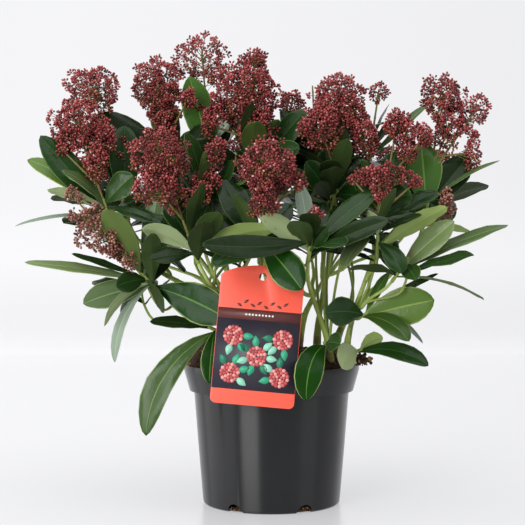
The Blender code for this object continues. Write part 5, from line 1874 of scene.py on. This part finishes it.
starts, ends = (np.array([list(place) for place in column]) * MM for column in stalks[:2])
girths, slots = np.array(stalks[2]) * MM, np.array(stalks[3])
twig_mats = [bark_finish(*bark, BARK_RELIEFS[-1]) for bark in TWIG_BARKS]
fine = girths <= STALK_GIRTHS[2] * MM
stout_stalks, fine_stalks = (prisms(*(column[kept] for column in (starts, ends, girths, slots)))
                             for kept in (~fine, fine))
for name, entries in (("twigs", twig_entries + [stout_stalks]), ("bud_stalks", [fine_stalks])):
    piece = join_copies(name, entries, twig_mats)
    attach(piece, "root")


# Floor, backdrop, light and camera
# A pale seamless cove, a large soft box to the left of the camera, which draws the long highlight down the
# pot, a broad light above, and weaker ones from either side.
CAMERA_PLACE = (-0.0087, -1.21, 0.232)
FOCUS = 1246.0
IMAGE_SIZE = 525.0
SENSOR = 36.0
COVE_DEPTH = 3.4
COVE_TURN = 1.5
COVE_WIDTH = 8.0
COVE_HEIGHT = 4.0
COVE_FRONT = -3.0
WORLD_GLOW = 0.3
# each lamp: name, place, what it faces, its width and height, and its power
LAMPS = (
    ("tall_soft_box", (-0.98, -1.5, 0.62), (0.0, 0.0, 0.5), (0.85, 1.2), 24.0),
    ("overhead", (0.1, -0.3, 1.9), (0.0, 0.0, 0.2), (2.4, 2.4), 30.0),
    ("left_reflector", (-1.5, -0.1, 0.35), (0.0, 0.0, 0.2), (1.8, 1.0), 10.0),
    ("right_fill", (1.5, -0.9, 0.8), (0.0, 0.0, 0.2), (0.9, 1.2), 4.0),
)
bpy.ops.object.select_all(action="DESELECT")
bpy.ops.mesh.primitive_plane_add(size=1.0)
cove = bpy.context.object
profile = [(COVE_FRONT, 0.0), (COVE_DEPTH - COVE_TURN, 0.0)]
profile += [(COVE_DEPTH - COVE_TURN + COVE_TURN * math.sin(math.radians(a)),
             COVE_TURN - COVE_TURN * math.cos(math.radians(a))) for a in range(6, 91, 6)]
profile.append((COVE_DEPTH, COVE_HEIGHT))
points = [(x * 0.5 * COVE_WIDTH, y, z) for y, z in profile for x in (-1, 1)]
faces = [(2 * i, 2 * i + 1, 2 * i + 3, 2 * i + 2) for i in range(len(profile) - 1)]
cove.data.clear_geometry()
cove.data.from_pydata(points, [], faces)
cove.data.shade_smooth()
cove.name = "cove"

# White studio paper that glows with painted light: more further back and on the wall, where the lamps reach
# less, and more to the left. A faint sheen mirrors the pot's foot.
# painted light: the colours of the paper's glow near the pot, far along the floor and up the wall
WALL_GLOW = "#f7f7f9"
FAR_FLOOR_GLOW = "#c2c2c5"
NEAR_FLOOR_GLOW = "#bebec1"
PAPER = "#9b9b9d"
FADE_HEIGHT = 0.24
GLOW_REACH = 0.8
GLOW = (0.77, 0.71)
paper, shader = new_material("glowing_studio_paper", PAPER, {"Roughness": 0.25, "Specular IOR Level": 0.3})
coords = add_node(paper, "ShaderNodeTexCoord", {})
axes = add_node(paper, "ShaderNodeSeparateXYZ", {}, {"Vector": coords.outputs["Object"]})
away = add_node(paper, "ShaderNodeMapRange", {"From Max": COVE_DEPTH - COVE_TURN},
                {"Value": axes.outputs["Y"]})
ground = add_node(paper, "ShaderNodeMix",
                  {"data_type": "RGBA", 6: linear(NEAR_FLOOR_GLOW), 7: linear(FAR_FLOOR_GLOW)},
                  {0: away.outputs["Result"]})
height = add_node(paper, "ShaderNodeMapRange", {"From Max": FADE_HEIGHT}, {"Value": axes.outputs["Z"]})
rise = add_node(paper, "ShaderNodeMath", {"operation": "SQRT"}, {0: height.outputs["Result"]})
shade = add_node(paper, "ShaderNodeMix", {"data_type": "RGBA", 7: linear(WALL_GLOW)},
                 {0: rise.outputs["Value"], 6: ground.outputs[2]})
feed(paper, shader, "Emission Color", shade.outputs[2])
glow = add_node(paper, "ShaderNodeMapRange",
                {"From Min": -GLOW_REACH, "From Max": GLOW_REACH, "To Min": GLOW[0], "To Max": GLOW[1]},
                {"Value": axes.outputs["X"]})
# painted light: the glow is stronger to the left
feed(paper, shader, "Emission Strength", glow.outputs["Result"])
cove.data.materials.clear()
cove.data.materials.append(paper)

world = bpy.data.worlds.new("studio")
bpy.context.scene.world = world
world.use_nodes = True
world.node_tree.nodes["Background"].inputs["Color"].default_value = (1.0, 1.0, 1.0, 1.0)
world.node_tree.nodes["Background"].inputs["Strength"].default_value = WORLD_GLOW
for name, place, target, (width, height), power in LAMPS:
    data = bpy.data.lights.new(name, "AREA")
    data.shape = "RECTANGLE"
    data.size, data.size_y = width, height
    data.energy = power
    lamp = bpy.data.objects.new(name, data)
    lamp.location = place
    lamp.rotation_euler = (Vector(target) - Vector(place)).to_track_quat("-Z", "Y").to_euler()
    bpy.context.scene.collection.objects.link(lamp)

camera_data = bpy.data.cameras.new("camera")
camera_data.sensor_width = SENSOR
camera_data.lens = FOCUS / IMAGE_SIZE * SENSOR
camera = bpy.data.objects.new("camera", camera_data)
camera.location = CAMERA_PLACE
camera.rotation_euler = (math.pi / 2, 0.0, 0.0)
bpy.context.scene.collection.objects.link(camera)
bpy.context.scene.camera = camera
bpy.context.scene.view_settings.view_transform = "Standard"
